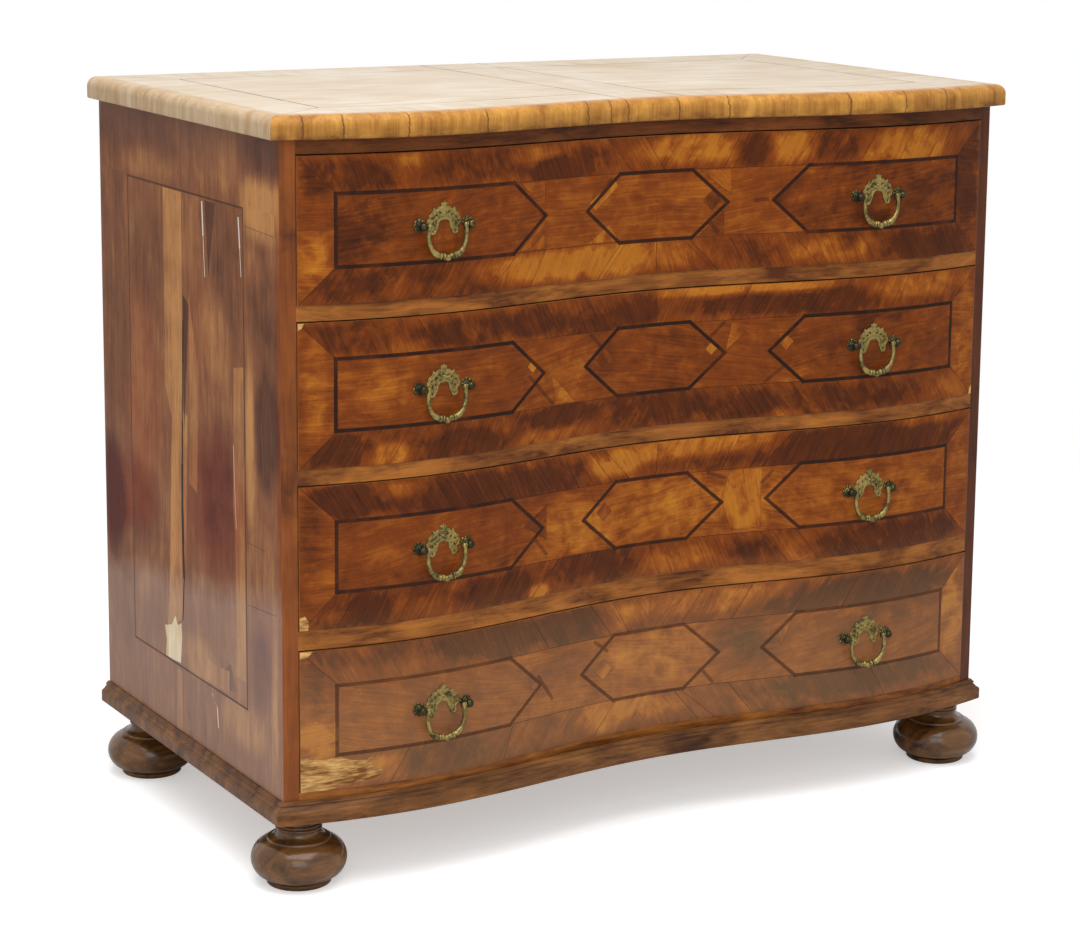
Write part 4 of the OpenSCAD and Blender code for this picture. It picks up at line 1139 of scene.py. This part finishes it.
def trim(mesh, planes):
    """Cuts a mesh off at planes, given as point and outward direction, and closes the cuts."""
    bm = bmesh.new()
    bm.from_mesh(mesh)
    bmesh.ops.remove_doubles(bm, verts=list(bm.verts), dist=1e-6)
    for point, direction in planes:
        geometry = [*bm.verts, *bm.edges, *bm.faces]
        bmesh.ops.bisect_plane(bm, geom=geometry, dist=1e-6, plane_co=point, plane_no=direction, clear_outer=True)
        rim = [e for e in bm.edges if e.is_boundary]
        bmesh.ops.holes_fill(bm, edges=rim, sides=0)
    bmesh.ops.recalc_face_normals(bm, faces=list(bm.faces))
    bm.to_mesh(mesh)
    bm.free()
    flip_if_inside_out(mesh)


def mitre_direction(line):
    lean = abs(float(slope(HALF, *line)))
    return Vector((1, -(math.sqrt(1 + lean * lean) - lean), 0)).normalized()


def run_mouldings(prefix, section, line, height, materials, slot, nodes):
    """The front run along the serpentine and the two straight side runs, mitred at the corners."""
    tree = moulding_tree()
    outline = path_mesh([(x, -z, 0) for x, z in section], closed=True)
    profile = new_object(f"{prefix}_section", outline)
    past = 30 * MM
    xs = np.linspace(-HALF, HALF, 185)
    points = [(x, FRONT - float(swing(x, *line)), height) for x in xs]
    lean = float(slope(HALF, *line))
    points.insert(0, (-HALF - past, FRONT - past * lean, height))
    points.append((HALF + past, FRONT - past * lean, height))
    mitre = mitre_direction(line)
    corner = Vector((HALF, FRONT, height))
    across = Vector((-mitre.y, mitre.x, 0))
    hair = 0.15 * MM
    shift = across * hair

    def mirrored(v):
        return Vector((-v.x, v.y, v.z))

    pieces = {}
    front = grow(f"{prefix}_front", path_mesh(points), tree, Section=profile, Material=materials[0])
    trim(front.data, [(corner - shift, across), (mirrored(corner - shift), mirrored(across))])
    pieces["front"] = front
    straight = [(HALF, y, height) for y in (FRONT - past, *np.linspace(FRONT, REAR + past, 24))]
    right = grow(f"{prefix}_right", path_mesh(straight), tree, Section=profile, Material=materials[1])
    trim(right.data, [(corner + shift, -across), (Vector((0, REAR, height)), Vector((0, 1, 0)))])
    pieces["right"] = right
    mesh = right.data.copy()
    mesh.transform(Matrix.Diagonal((-1, 1, 1, 1)))
    flip_if_inside_out(mesh)
    pieces["left"] = new_object(f"{prefix}_left", mesh)
    bpy.data.objects.remove(profile)
    for side, piece in pieces.items():
        soften(piece.data, 34)
        stand_for(piece, "carcass", slot, f"{nodes}_{side}")


# Where the joints of the cross-grained lipping are
EDGE_CRACKS = (-0.533, -0.483, -0.398, -0.285, -0.120, -0.081, -0.053, 0.027, 0.102, 0.280, 0.370, 0.444)


class COMMODE_OT_mouldings(bpy.types.Operator):
    """Runs the top lipping and the base moulding round the case"""

    bl_idname = "commode.mouldings"
    bl_label = "Mouldings"

    def execute(self, context):
        timber = context.scene.commode_timber
        gold = (timber.edge_light, timber.edge_dark, screen(112, 68, 30))
        faded = (timber.edge_pale, screen(164, 126, 80), screen(136, 100, 62))
        waxed = (timber.base_light, timber.base_dark, timber.base_dark)
        edge = board_finish("top lipping", "Z", gold, 0.30, 1.9, 0.9, cracks=EDGE_CRACKS)
        pale = board_finish("faded lipping", "Z", faded, 0.36, 1.7, 0.8)
        base = board_finish("base moulding wood", "X", waxed, 0.3, 1.8, 0.9)
        top_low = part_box("top_board")[0].z
        run_mouldings("lipping", top_section(), TOP_LINE, top_low, (edge, pale), "walnut_edge", "top_edge")
        run_mouldings("base_run", base_section(), BASE_LINE, CASE_LOW, (base, base), "walnut_dark", "base_moulding")
        return {"FINISHED"}


def turned(name, section, steps, centre):
    """A closed turned shape from a section of radius and height."""
    verts, faces = [], []
    rings = []
    for radius, z in section:
        if radius < 1e-7:
            rings.append([len(verts)])
            verts.append((centre[0], centre[1], z))
            continue
        rings.append(list(range(len(verts), len(verts) + steps)))
        for i in range(steps):
            a = 2 * math.pi * i / steps
            verts.append((centre[0] + radius * math.cos(a), centre[1] + radius * math.sin(a), z))
    for low, high in zip(rings, rings[1:]):
        for i in range(steps):
            j = (i + 1) % steps
            if len(low) == 1:
                faces.append((low[0], high[j], high[i]))
            elif len(high) == 1:
                faces.append((low[i], low[j], high[0]))
            else:
                faces.append((low[i], low[j], high[j], high[i]))
    mesh = bpy.data.meshes.new(name)
    mesh.from_pydata(verts, [], faces)
    flip_if_inside_out(mesh)
    soften(mesh)
    return mesh


def foot_section():
    """Section of a bun foot: pad, bun, collar, cove, three rings and the tenon."""
    bun = (36.94, 33.12)
    size = 25.5
    high = math.degrees(math.acos((42.5 - bun[0]) / size))
    collar = bun[1] + size * math.sin(math.radians(high))
    cove = 72.2
    points = [(0, 0), (41, 0), (42, 1), (42, 6.1), (41.6, 6.5), *arc(bun, size, -90, high, 52)]
    points += [(41.5, collar + 0.4), (41.8, collar + 1.4), (41.5, collar + 2.4)]
    for i in range(13):
        a = math.radians(90 - 7.5 * i)
        points.append((40.5 - 12.5 * math.cos(a), collar + 3.4 + (cove - collar - 3.4) * (1 - math.sin(a))))
    for k in range(3):
        points += arc((28, cove + (k + 0.5) * 4.6), 2.5, -66, 66, 10)
    points += [(30.5, 86.5), (30.5, 92), (11, 92), (11, 112), (10, 113), (0, 113)]
    return [(r * MM, z * MM) for r, z in points]


class COMMODE_OT_feet(bpy.types.Operator):
    """Turns the four bun feet"""

    bl_idname = "commode.feet"
    bl_label = "Feet"

    def execute(self, context):
        timber = context.scene.commode_timber
        browns = (screen(126, 84, 42), screen(40, 24, 14), screen(24, 15, 10))
        wood = board_finish("turned walnut", "X", browns, 0.2, 2.2, gloss=0.4)
        for node in [f"foot_{place}_{side}" for place in ("front", "rear") for side in SIDES]:
            low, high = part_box(node)
            centre = ((low.x + high.x) / 2, (low.y + high.y) / 2)
            foot = new_object(f"bun_{node}", turned(f"bun_{node}", foot_section(), 96, centre))
            foot.data.materials.append(wood)
            stand_for(foot, "carcass", "walnut_dark", node)
        return {"FINISHED"}


def pull_places(n):
    """Middle of each pull's knobs, its direction along the front and its turn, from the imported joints."""
    places = {}
    for joint in frame["joints"]:
        for side in SIDES:
            if joint["name"] == f"bail_{n}_{side}_swing":
                along = -Vector(joint["axis"])
                places[side] = (Vector(joint["pos_m"]), along, math.atan2(along.y, along.x))
    return places


# Right half of the backplate's outline, in millimetres from the line of the posts
PLATE_HALF = [
    (0, 29.6), (1.2, 27.8), (3.2, 27.6), (4.4, 25.9), (3.4, 24.2), (4.6, 23.0), (7.0, 22.6), (9.2, 21.6), (10.8, 20.0),
    (12.8, 19.8), (15.2, 21.2), (15.8, 18.6), (17.0, 16.4), (19.0, 14.4), (20.6, 13.2), (22.0, 12.2), (22.2, 9.6),
    (23.4, 7.6), (24.7, 5.4), (24.8, 2.6), (23.8, 0.4), (21.8, -1.2), (20.7, -3.2), (20.9, -5.6), (21.0, -8.2),
    (20.0, -10.8), (18.0, -12.5), (15.4, -12.8), (13.2, -11.6), (12.0, -9.4), (11.2, -7.0), (9.8, -5.0), (8.7, -2.8),
    (8.4, -0.2), (7.0, 3.2), (4.6, 5.3), (0, 6.2),
]
# Piercings: middle, half width, half height and turn
PLATE_HOLES = [(6.2, 15.4, 2.4, 1.4, 35), (11.2, 12.0, 1.4, 2.2, -40), (17.6, 8.4, 2.2, 1.3, -30),
               (16.4, 1.2, 1.4, 2.2, 10), (16.4, -8.4, 1.2, 2.1, -10), (12.2, 3.4, 1.0, 1.9, 25)]
# Raised scrolls: their line and half their thickness, and beads: middle and radius
PLATE_RIBS = [
    ([(14.6, -10.4), (12.6, -8.0), (11.2, -4.6), (10.4, -1.0), (9.4, 2.6), (6.8, 5.9), (3.4, 7.8), (0, 8.4)], 0.85),
    ([(18.6, -10.8), (19.3, -7.6), (18.6, -4.2), (19.0, -1.6), (21.4, 0.6), (22.9, 3.2), (22.2, 5.8), (20.2, 6.0)],
     0.75),
    ([(20.4, 11.4), (18.0, 11.4), (15.4, 12.8), (13.2, 15.4), (10.4, 18.2), (7.0, 19.9), (3.6, 20.7), (0, 20.9)], 0.75),
    ([(3.2, 11.4), (6.4, 12.6), (9.2, 10.2), (12.0, 8.4), (14.4, 6.2), (14.6, 3.4), (13.8, 0.8)], 0.65),
    ([(14.2, 19.6), (12.8, 17.6), (12.4, 15.0)], 0.6),
    ([(0, 28.2), (0, 21.4)], 0.7),
    ([(3.0, 26.0), (0.8, 23.4)], 0.5),
]
PLATE_BEADS = [(0, 14.0, 1.6), (23.0, 4.2, 1.1), (17.6, -11.0, 1.1), (14.4, 19.2, 0.8), (0, 26.0, 1.0),
               (3.6, 17.6, 0.8)]


def plate_mesh():
    """One pierced backplate with raised scrolls; it faces -Y and lies against the plane y = 0."""
    curve = bpy.data.curves.new("plate outline", "CURVE")
    curve.dimensions = "2D"
    curve.fill_mode = "BOTH"
    curve.extrude = 0.45 * MM
    curve.bevel_depth = 0.3 * MM
    curve.bevel_resolution = 2

    def outline(points):
        spline = curve.splines.new("POLY")
        spline.points.add(len(points) - 1)
        spline.use_cyclic_u = True
        for slot, (x, y) in zip(spline.points, points):
            slot.co = (x * MM, y * MM, 0, 1)

    outer = rounded(PLATE_HALF)
    outline(outer + [(-x, y) for x, y in reversed(outer[1:-1])])
    for x, y, a, b, turn in PLATE_HOLES:
        cos, sin = math.cos(math.radians(turn)), math.sin(math.radians(turn))
        ring = [(math.cos(k * math.pi / 8) * a, math.sin(k * math.pi / 8) * b) for k in range(16)]
        hole = [(x + p * cos - q * sin, y + p * sin + q * cos) for p, q in ring]
        for s in (1, -1):
            outline([(s * p, q) for p, q in hole])
    holder = new_object("plate outline", curve)
    graph = bpy.context.evaluated_depsgraph_get()
    flat = bpy.data.meshes.new_from_object(holder.evaluated_get(graph))
    bpy.data.objects.remove(holder)
    bm = bmesh.new()
    bm.from_mesh(flat)
    bmesh.ops.remove_doubles(bm, verts=list(bm.verts), dist=1e-7)
    bmesh.ops.translate(bm, verts=list(bm.verts), vec=(0, 0, 0.76 * MM))
    for vert in bm.verts:
        dome = max(0.0, 1 - (vert.co.x / (26 * MM)) ** 2)
        if vert.co.z > 0.7 * MM:
            vert.co.z += 0.35 * MM * dome
    tree = bar_tree()
    for points, thick in PLATE_RIBS:
        smooth = rounded(points)
        for s in (1, -1):
            if s < 0 and all(abs(x) < 1e-6 for x, _ in points):
                continue
            line = [(s * x * MM, y * MM, 1.7 * MM) for x, y in smooth]
            swells = [math.sin(math.pi * (0.12 + 0.76 * i / (len(line) - 1))) for i in range(len(line))]
            sizes = [thick * MM * (0.55 + 0.45 * swell) for swell in swells]
            rib = grow("rib", path_mesh(line, thickness=sizes), tree, Sides=8)
            bm.from_mesh(rib.data)
            bpy.data.objects.remove(rib)
    for x, y, radius in PLATE_BEADS:
        for s in ((1, -1) if x else (1,)):
            spot = Matrix.Translation((s * x * MM, y * MM, 1.7 * MM)) @ Matrix.Diagonal((1, 1, 0.7, 1))
            bmesh.ops.create_icosphere(bm, subdivisions=2, radius=radius * MM, matrix=spot)
    bmesh.ops.transform(bm, verts=list(bm.verts), matrix=Matrix.Rotation(math.radians(90), 4, "X"))
    mesh = mesh_of("plate", bm)
    soften(mesh)
    return mesh


def rounded(points, steps=3):
    """Points of a smooth line through the given points."""
    out = []
    last = len(points) - 1
    for i in range(last):
        p0, p1, p2, p3 = (points[max(0, min(last, i + k))] for k in (-1, 0, 1, 2))
        for j in range(steps):
            t = j / steps
            out.append(tuple(
                0.5 * (2 * b + (c - a) * t + (2 * a - 5 * b + 4 * c - d) * t * t + (3 * b - a - 3 * c + d) * t ** 3)
                for a, b, c, d in zip(p0, p1, p2, p3)))
    out.append(tuple(points[-1]))
    return out


def post_mesh(shank):
    """A post: flower, neck, ball knob and shank; it points along -Y from the plane y = 0."""
    neck, flower = 3.2 * MM, 3 * MM
    meet = math.acos(neck / KNOB)
    free = KNOB_OUT - KNOB * math.sin(meet) - flower
    section = [(0, -shank), (1.5 * MM, -shank), (2 * MM, 0.5 * MM - shank), (2 * MM, 0), (6.4 * MM, 0.1 * MM),
               (6.4 * MM, 1.6 * MM), (5.6 * MM, 2.6 * MM), (5.0 * MM, flower), (4.2 * MM, flower + 0.02 * MM),
               (neck + 0.1 * MM, flower + free * 0.35), (neck + 0.6 * MM, flower + free * 0.52),
               (neck + 0.8 * MM, flower + free * 0.7), (neck + 0.5 * MM, flower + free * 0.86),
               *arc((0, KNOB_OUT), KNOB, -math.degrees(meet), 90, 14)]
    section[-1] = (0, section[-1][1])
    body = turned("post body", section, 28, (0, 0))
    body.transform(Matrix.Rotation(math.radians(90), 4, "X"))
    petal = bmesh.new()
    bmesh.ops.create_uvsphere(petal, u_segments=14, v_segments=8, radius=1.0)
    bmesh.ops.transform(petal, verts=list(petal.verts), matrix=Matrix.Diagonal((3.2 * MM, 2.7 * MM, 1.9 * MM, 1)))
    for vert in petal.verts:
        vert.co.z = max(vert.co.z, 0.0)
        vert.co.z *= 1 - 0.35 * math.exp(-(vert.co.y / (0.6 * MM)) ** 2)
    mesh = mesh_of("petal", petal)
    mesh.shade_smooth()
    flower = grow("flower", mesh, petal_tree(), Petals=8, Ring=6.2 * MM)
    bm = bmesh.new()
    bm.from_mesh(body)
    bm.from_mesh(flower.data)
    bpy.data.objects.remove(flower)
    out = mesh_of("post", bm)
    soften(out)
    return out


def nut_mesh():
    """A square nut with worn corners; it lies on the plane y = 0 and stands out along +Y."""
    bm = bmesh.new()
    block = Matrix.Translation((0, 2 * MM, 0)) @ Matrix.Diagonal((10 * MM, 4 * MM, 10 * MM, 1))
    bmesh.ops.create_cube(bm, size=1.0, matrix=block)
    bmesh.ops.bevel(bm, geom=list(bm.edges), offset=0.6 * MM, segments=2, affect="EDGES")
    return mesh_of("nut", bm)


def bail_path():
    """Centre line of a bail and its thickness, between the knobs, in millimetres."""
    half, drop, radius, power = 28.2, 39.5, 2.8, 2.9
    top = (POST_HALF - KNOB) / MM - 0.3 - radius
    share = 0.5 ** (1 / power)

    def curve(u, a, b):
        return b * (1 - abs(u / a) ** power) ** (1 / power)

    points = [(top, radius * math.sin(math.radians(88 * i / 8))) for i in range(8, 0, -1)]
    for i in range(18):
        z = -drop * share * i / 17
        points.append((curve(z, drop, half) - (half - top) * max(0, 1 + 2 * z / drop) ** 2, z))
    right = list(points)
    for i in range(1, 72):
        x = half * share * (1 - 2 * i / 72)
        points.append((x, -curve(x, half, drop)))
    points += [(-x, z) for x, z in reversed(right)]

    def bump(x, at, wide):
        return math.exp(-((abs(x) - at) / wide) ** 2)

    sizes, line = [], []
    for x, z in points:
        low = z < -drop * 0.5
        size = math.sqrt(radius * radius - z * z) if z > 0 else radius
        if low:
            size += 1.7 * bump(x, 16.5, 5) + 0.3 * bump(x, 0, 12)
            size += 1.8 * (bump(x, 10.2, 1.1) + bump(x, 6.2, 1.1) + bump(x, 0, 3))
        sizes.append(size)
        line.append((x, z - (1.8 * bump(x, 0, 3.2) if low else 0)))
    return line, sizes


def bail_mesh(material):
    """A bail between its two pins; it hangs down from the line through the knobs."""
    line, sizes = bail_path()
    path = path_mesh([(x * MM, 0, z * MM) for x, z in line], thickness=[s * MM for s in sizes])
    bar = grow("bail bar", path, bar_tree(), Sides=14, Material=material)
    bm = bmesh.new()
    bm.from_mesh(bar.data)
    bpy.data.objects.remove(bar)
    thick, collar, pin = 1.6 * MM, 3.4 * MM, 1.8 * MM
    start = 29.2 * MM - thick
    turn = Matrix.Rotation(math.radians(90), 4, "Y")
    for s in (-1, 1):
        for radius, length in ((collar, thick), (pin, POST_HALF + 2.5 * MM - start)):
            spot = Matrix.Translation((s * (start + length / 2), 0, 0)) @ turn
            made = bmesh.ops.create_cone(bm, cap_ends=True, segments=20, radius1=radius, radius2=radius,
                                         depth=length, matrix=spot)
            if radius == collar:
                rim = {e for v in made["verts"] for e in v.link_edges if len(e.link_faces) == 2}
                bmesh.ops.bevel(bm, geom=list(rim), offset=0.35 * MM, segments=2, affect="EDGES")
    mesh = mesh_of("bail", bm)
    soften(mesh)
    return mesh


class COMMODE_OT_pulls(bpy.types.Operator):
    """Fits the pierced plates, the posts with their flowers and the bails"""

    bl_idname = "commode.pulls"
    bl_label = "Pulls"

    def execute(self, context):
        metal = context.scene.commode_metal
        plate_brass = brass_finish("plate brass", metal, 0.36, 0.36)
        post_brass = brass_finish("post brass", metal, 0.14, -0.16)
        bail_brass = brass_finish("bail brass", metal, 0.34, 0.30)
        tree = fittings_tree()
        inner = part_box("drawer_1_front")[1].y
        plate = new_object("plate model", plate_mesh())
        nut = new_object("nut model", nut_mesh())
        bail = bail_mesh(bail_brass)
        post = None
        for n in DRAWERS:
            spots = {"plate": [], "post": [], "nut": []}
            for side, (knobs, along, turn) in pull_places(n).items():
                out = Vector((along.y, -along.x, 0))
                root = knobs - out * KNOB_OUT
                spots["plate"].append((root, turn))
                for t in (-1, 1):
                    foot = root + along * (t * POST_HALF)
                    reach = (inner - foot.y) / -out.y
                    spots["post"].append((foot, turn))
                    spots["nut"].append((foot - out * (reach + 0.45 * MM), turn))
                    if post is None:
                        post = new_object("post model", post_mesh(reach + 7.5 * MM))
                thing = new_object(f"bail_bar_{n}_{side}", bail.copy())
                thing.data.transform(Matrix.Translation(knobs) @ Matrix.Rotation(turn, 4, "Z"))
                thing.data.materials.clear()
                thing.data.materials.append(bail_brass)
                stand_for(thing, f"bail_{n}_{side}", "brass", f"bail_{n}_{side}")
            made = {}
            models = {"plate": (plate, plate_brass), "post": (post, post_brass), "nut": (nut, post_brass)}
            for kind, (model, finish) in models.items():
                mesh = path_mesh([spot for spot, _ in spots[kind]], turn=[turn for _, turn in spots[kind]])
                made[kind] = grow(f"pull_{kind}s_{n}", mesh, tree, Fitting=model, Material=finish)
                soften(made[kind].data)
            bm = bmesh.new()
            bm.from_mesh(made["post"].data)
            bm.from_mesh(made["nut"].data)
            bm.to_mesh(made["post"].data)
            bm.free()
            bpy.data.objects.remove(made["nut"])
            stand_for(made["plate"], f"drawer_{n}", "brass", f"drawer_{n}_plates")
            stand_for(made["post"], f"drawer_{n}", "brass", f"drawer_{n}_posts")
        for model in (plate, nut, post):
            bpy.data.objects.remove(model)
        return {"FINISHED"}


class COMMODE_OT_boards(bpy.types.Operator):
    """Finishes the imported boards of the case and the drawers"""

    bl_idname = "commode.boards"
    bl_label = "Boards"

    def execute(self, context):
        timber = context.scene.commode_timber
        banded = (timber.rail_light, timber.rail_dark, timber.rail_dark)
        brown = (screen(156, 88, 40), screen(88, 44, 22), screen(66, 34, 20))
        dark = (screen(104, 54, 28), screen(56, 28, 15), screen(42, 21, 13))
        # Painted shadow: darker browns for the top rail, which lies in the shadow under the top's overhang
        overhang_shadow_browns = (screen(122, 66, 26), screen(50, 25, 12), screen(36, 20, 12))
        yellow = (timber.pine_light, timber.pine_dark)
        rail = board_finish("rail veneer", "X", banded, 0.36, 2.4, 0.9)
        # Painted shade: the right stile gets a darker copy of the left stile's veneer
        stiles = {"left": board_finish("stile veneer", "Z", brown, 0.36, 1.0),
                  "right": board_finish("dark stile veneer", "Z", dark, 0.36, 1.0)}
        edge = board_finish("front core", "X", (screen(176, 118, 66), screen(112, 66, 32)), 0.5)
        pine = {along: board_finish(f"pine along {along}", along, yellow, 0.62, 0.6, rings=430) for along in "XY"}
        shaded = board_finish("top rail veneer", "X", overhang_shadow_browns, 0.4, 2.0, 0.9)
        for node in ("rail_upper", "rail_middle", "rail_lower", "bottom_rail"):
            dress(node, rail)
        dress("top_rail", shaded)
        for side in SIDES:
            dress(f"side_{side}", stiles[side])
        for node in ("back_boards", "bottom_board", "drawer_stops", "foot_blocks"):
            dress(node, pine["X"])
        for node in ("drawer_runners", "top_kickers"):
            dress(node, pine["Y"])
        for n in DRAWERS:
            dress(f"drawer_{n}_front", edge)
            for part, along in (("side_left", "Y"), ("side_right", "Y"), ("back", "X"), ("bottom", "X")):
                dress(f"drawer_{n}_{part}", pine[along])
        return {"FINISHED"}


class COMMODE_OT_stage(bpy.types.Operator):
    """Sets the camera, the lights, the floor and the background"""

    bl_idname = "commode.stage"
    bl_label = "Stage"

    def execute(self, context):
        scene, stage = context.scene, context.scene.commode_stage
        scene.view_settings.view_transform = "Standard"
        # The photograph's view: turn, tilt and roll in radians, lens in pixels of its width, and place
        azimuth, tilt, roll = 0.544, 0.1804, 0.0127
        focal, picture_width, place = 2798.73, 1080, (-1.98887, REAR - 3.72274, 1.34009)
        right = Vector((math.cos(azimuth), -math.sin(azimuth), 0))
        ahead = Vector((math.sin(azimuth) * math.cos(tilt), math.cos(azimuth) * math.cos(tilt), -math.sin(tilt)))
        up = right.cross(ahead)
        c, s = math.cos(roll), math.sin(roll)
        right, up = c * right + s * up, c * up - s * right
        lens = bpy.data.cameras.new("camera")
        lens.sensor_width = 36
        lens.lens = focal / picture_width * lens.sensor_width
        lens.shift_x, lens.shift_y = -0.05, -0.110
        camera = new_object("camera", lens)
        turn = Matrix((right, up, -ahead)).transposed().to_4x4()
        camera.matrix_world = Matrix.Translation(place) @ turn
        scene.camera = camera
        self.world(scene, stage)
        floor = bpy.data.meshes.new("floor")
        reach = 14.0
        corners = [(-reach, -reach, 0), (reach, -reach, 0), (reach, reach, 0), (-reach, reach, 0)]
        floor.from_pydata(corners, [], [(0, 1, 2, 3)])
        ground = new_object("floor", floor)
        floor.materials.append(self.floor_paint(stage))
        ground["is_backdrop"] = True
        for name, power, size, spot, target in (
                ("key", stage.key, 2.6, (-0.5, -0.7, 3.1), (0, 0, 1.0)),
                ("front", stage.fill, 2.8, (-2.2, -4.2, 2.5), (0, 0, 0.5))):
            lamp = bpy.data.lights.new(name, "AREA")
            lamp.energy, lamp.size = power, size
            thing = new_object(name, lamp)
            thing.location = spot
            thing.rotation_euler = (Vector(target) - Vector(spot)).to_track_quat("-Z", "Y").to_euler()
        return {"FINISHED"}

    @staticmethod
    def world(scene, stage):
        scene.world = bpy.data.worlds.new("room")
        scene.world.use_nodes = True
        tree = scene.world.node_tree
        tree.nodes.clear()
        camera, glossy, through = (add(tree, "ShaderNodeLightPath", out=f"Is {kind} Ray")
                                   for kind in ("Camera", "Glossy", "Transmission"))
        white = camera.most(glossy * 0.86).most(through)
        room = add(tree, "ShaderNodeBackground", sockets={"Color": (1, 1, 1, 1), "Strength": stage.sky})
        bright = add(tree, "ShaderNodeBackground", sockets={"Color": (1, 1, 1, 1), "Strength": 1.0})
        both = add(tree, "ShaderNodeMixShader", sockets={0: white, 1: room, 2: bright})
        end = tree.nodes.new("ShaderNodeOutputWorld")
        tree.links.new(both.socket, end.inputs["Surface"])

    @staticmethod
    def floor_paint(stage):
        f = Finish("floor")
        seen = f.add("ShaderNodeLightPath", out="Is Camera Ray")
        paint = f.add("ShaderNodeBsdfDiffuse", sockets={"Color": stage.floor})
        glow = f.add("ShaderNodeEmission", sockets={"Color": (1, 1, 1, 1), "Strength": 0.42})
        white = f.add("ShaderNodeEmission", sockets={"Color": (1, 1, 1, 1), "Strength": 1.0})
        both = f.add("ShaderNodeAddShader", sockets=(paint, glow))
        away = f.add("ShaderNodeVectorMath", {"operation": "LENGTH"}, (f.place(),), out="Value").step(0.9, 2.4)
        near = f.add("ShaderNodeMixShader", sockets={0: away, 1: both, 2: white})
        return f.close(f.add("ShaderNodeMixShader", sockets={0: seen, 1: paint, 2: near}))


class COMMODE_PT_panel(bpy.types.Panel):
    """Lists the settings and the steps"""

    bl_label = "Serpentine commode"
    bl_idname = "COMMODE_PT_panel"
    bl_space_type = "VIEW_3D"
    bl_region_type = "UI"
    bl_category = "Commode"

    def draw(self, context):
        for group in SETTINGS:
            settings = getattr(context.scene, group)
            for name in settings.__annotations__:
                self.layout.prop(settings, name)
        for step in STEPS:
            self.layout.operator(step.bl_idname)


SETTINGS = {
    "commode_veneer": CommodeVeneer,
    "commode_timber": CommodeTimber,
    "commode_metal": CommodeMetal,
    "commode_stage": CommodeStage,
}
STEPS = (
    COMMODE_OT_stage, COMMODE_OT_boards, COMMODE_OT_top, COMMODE_OT_mouldings, COMMODE_OT_sides,
    COMMODE_OT_drawer_fronts, COMMODE_OT_feet, COMMODE_OT_pulls,
)


def register():
    for group in (*SETTINGS.values(), *STEPS, COMMODE_PT_panel):
        bpy.utils.register_class(group)
    for name, group in SETTINGS.items():
        setattr(bpy.types.Scene, name, bpy.props.PointerProperty(type=group))


def unregister():
    for name in SETTINGS:
        delattr(bpy.types.Scene, name)
    for group in (COMMODE_PT_panel, *reversed(STEPS), *reversed(SETTINGS.values())):
        bpy.utils.unregister_class(group)


def main():
    register()
    bpy.ops.commode.stage()
    bpy.ops.commode.boards()
    bpy.ops.commode.top()
    bpy.ops.commode.mouldings()
    bpy.ops.commode.sides()
    bpy.ops.commode.drawer_fronts()
    bpy.ops.commode.feet()
    bpy.ops.commode.pulls()
    sizes = {name: [list(corner) for corner in box] for name, box in (("cad", CAD_BOX), ("visual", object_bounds()))}


if __name__ == "__main__":
    main()
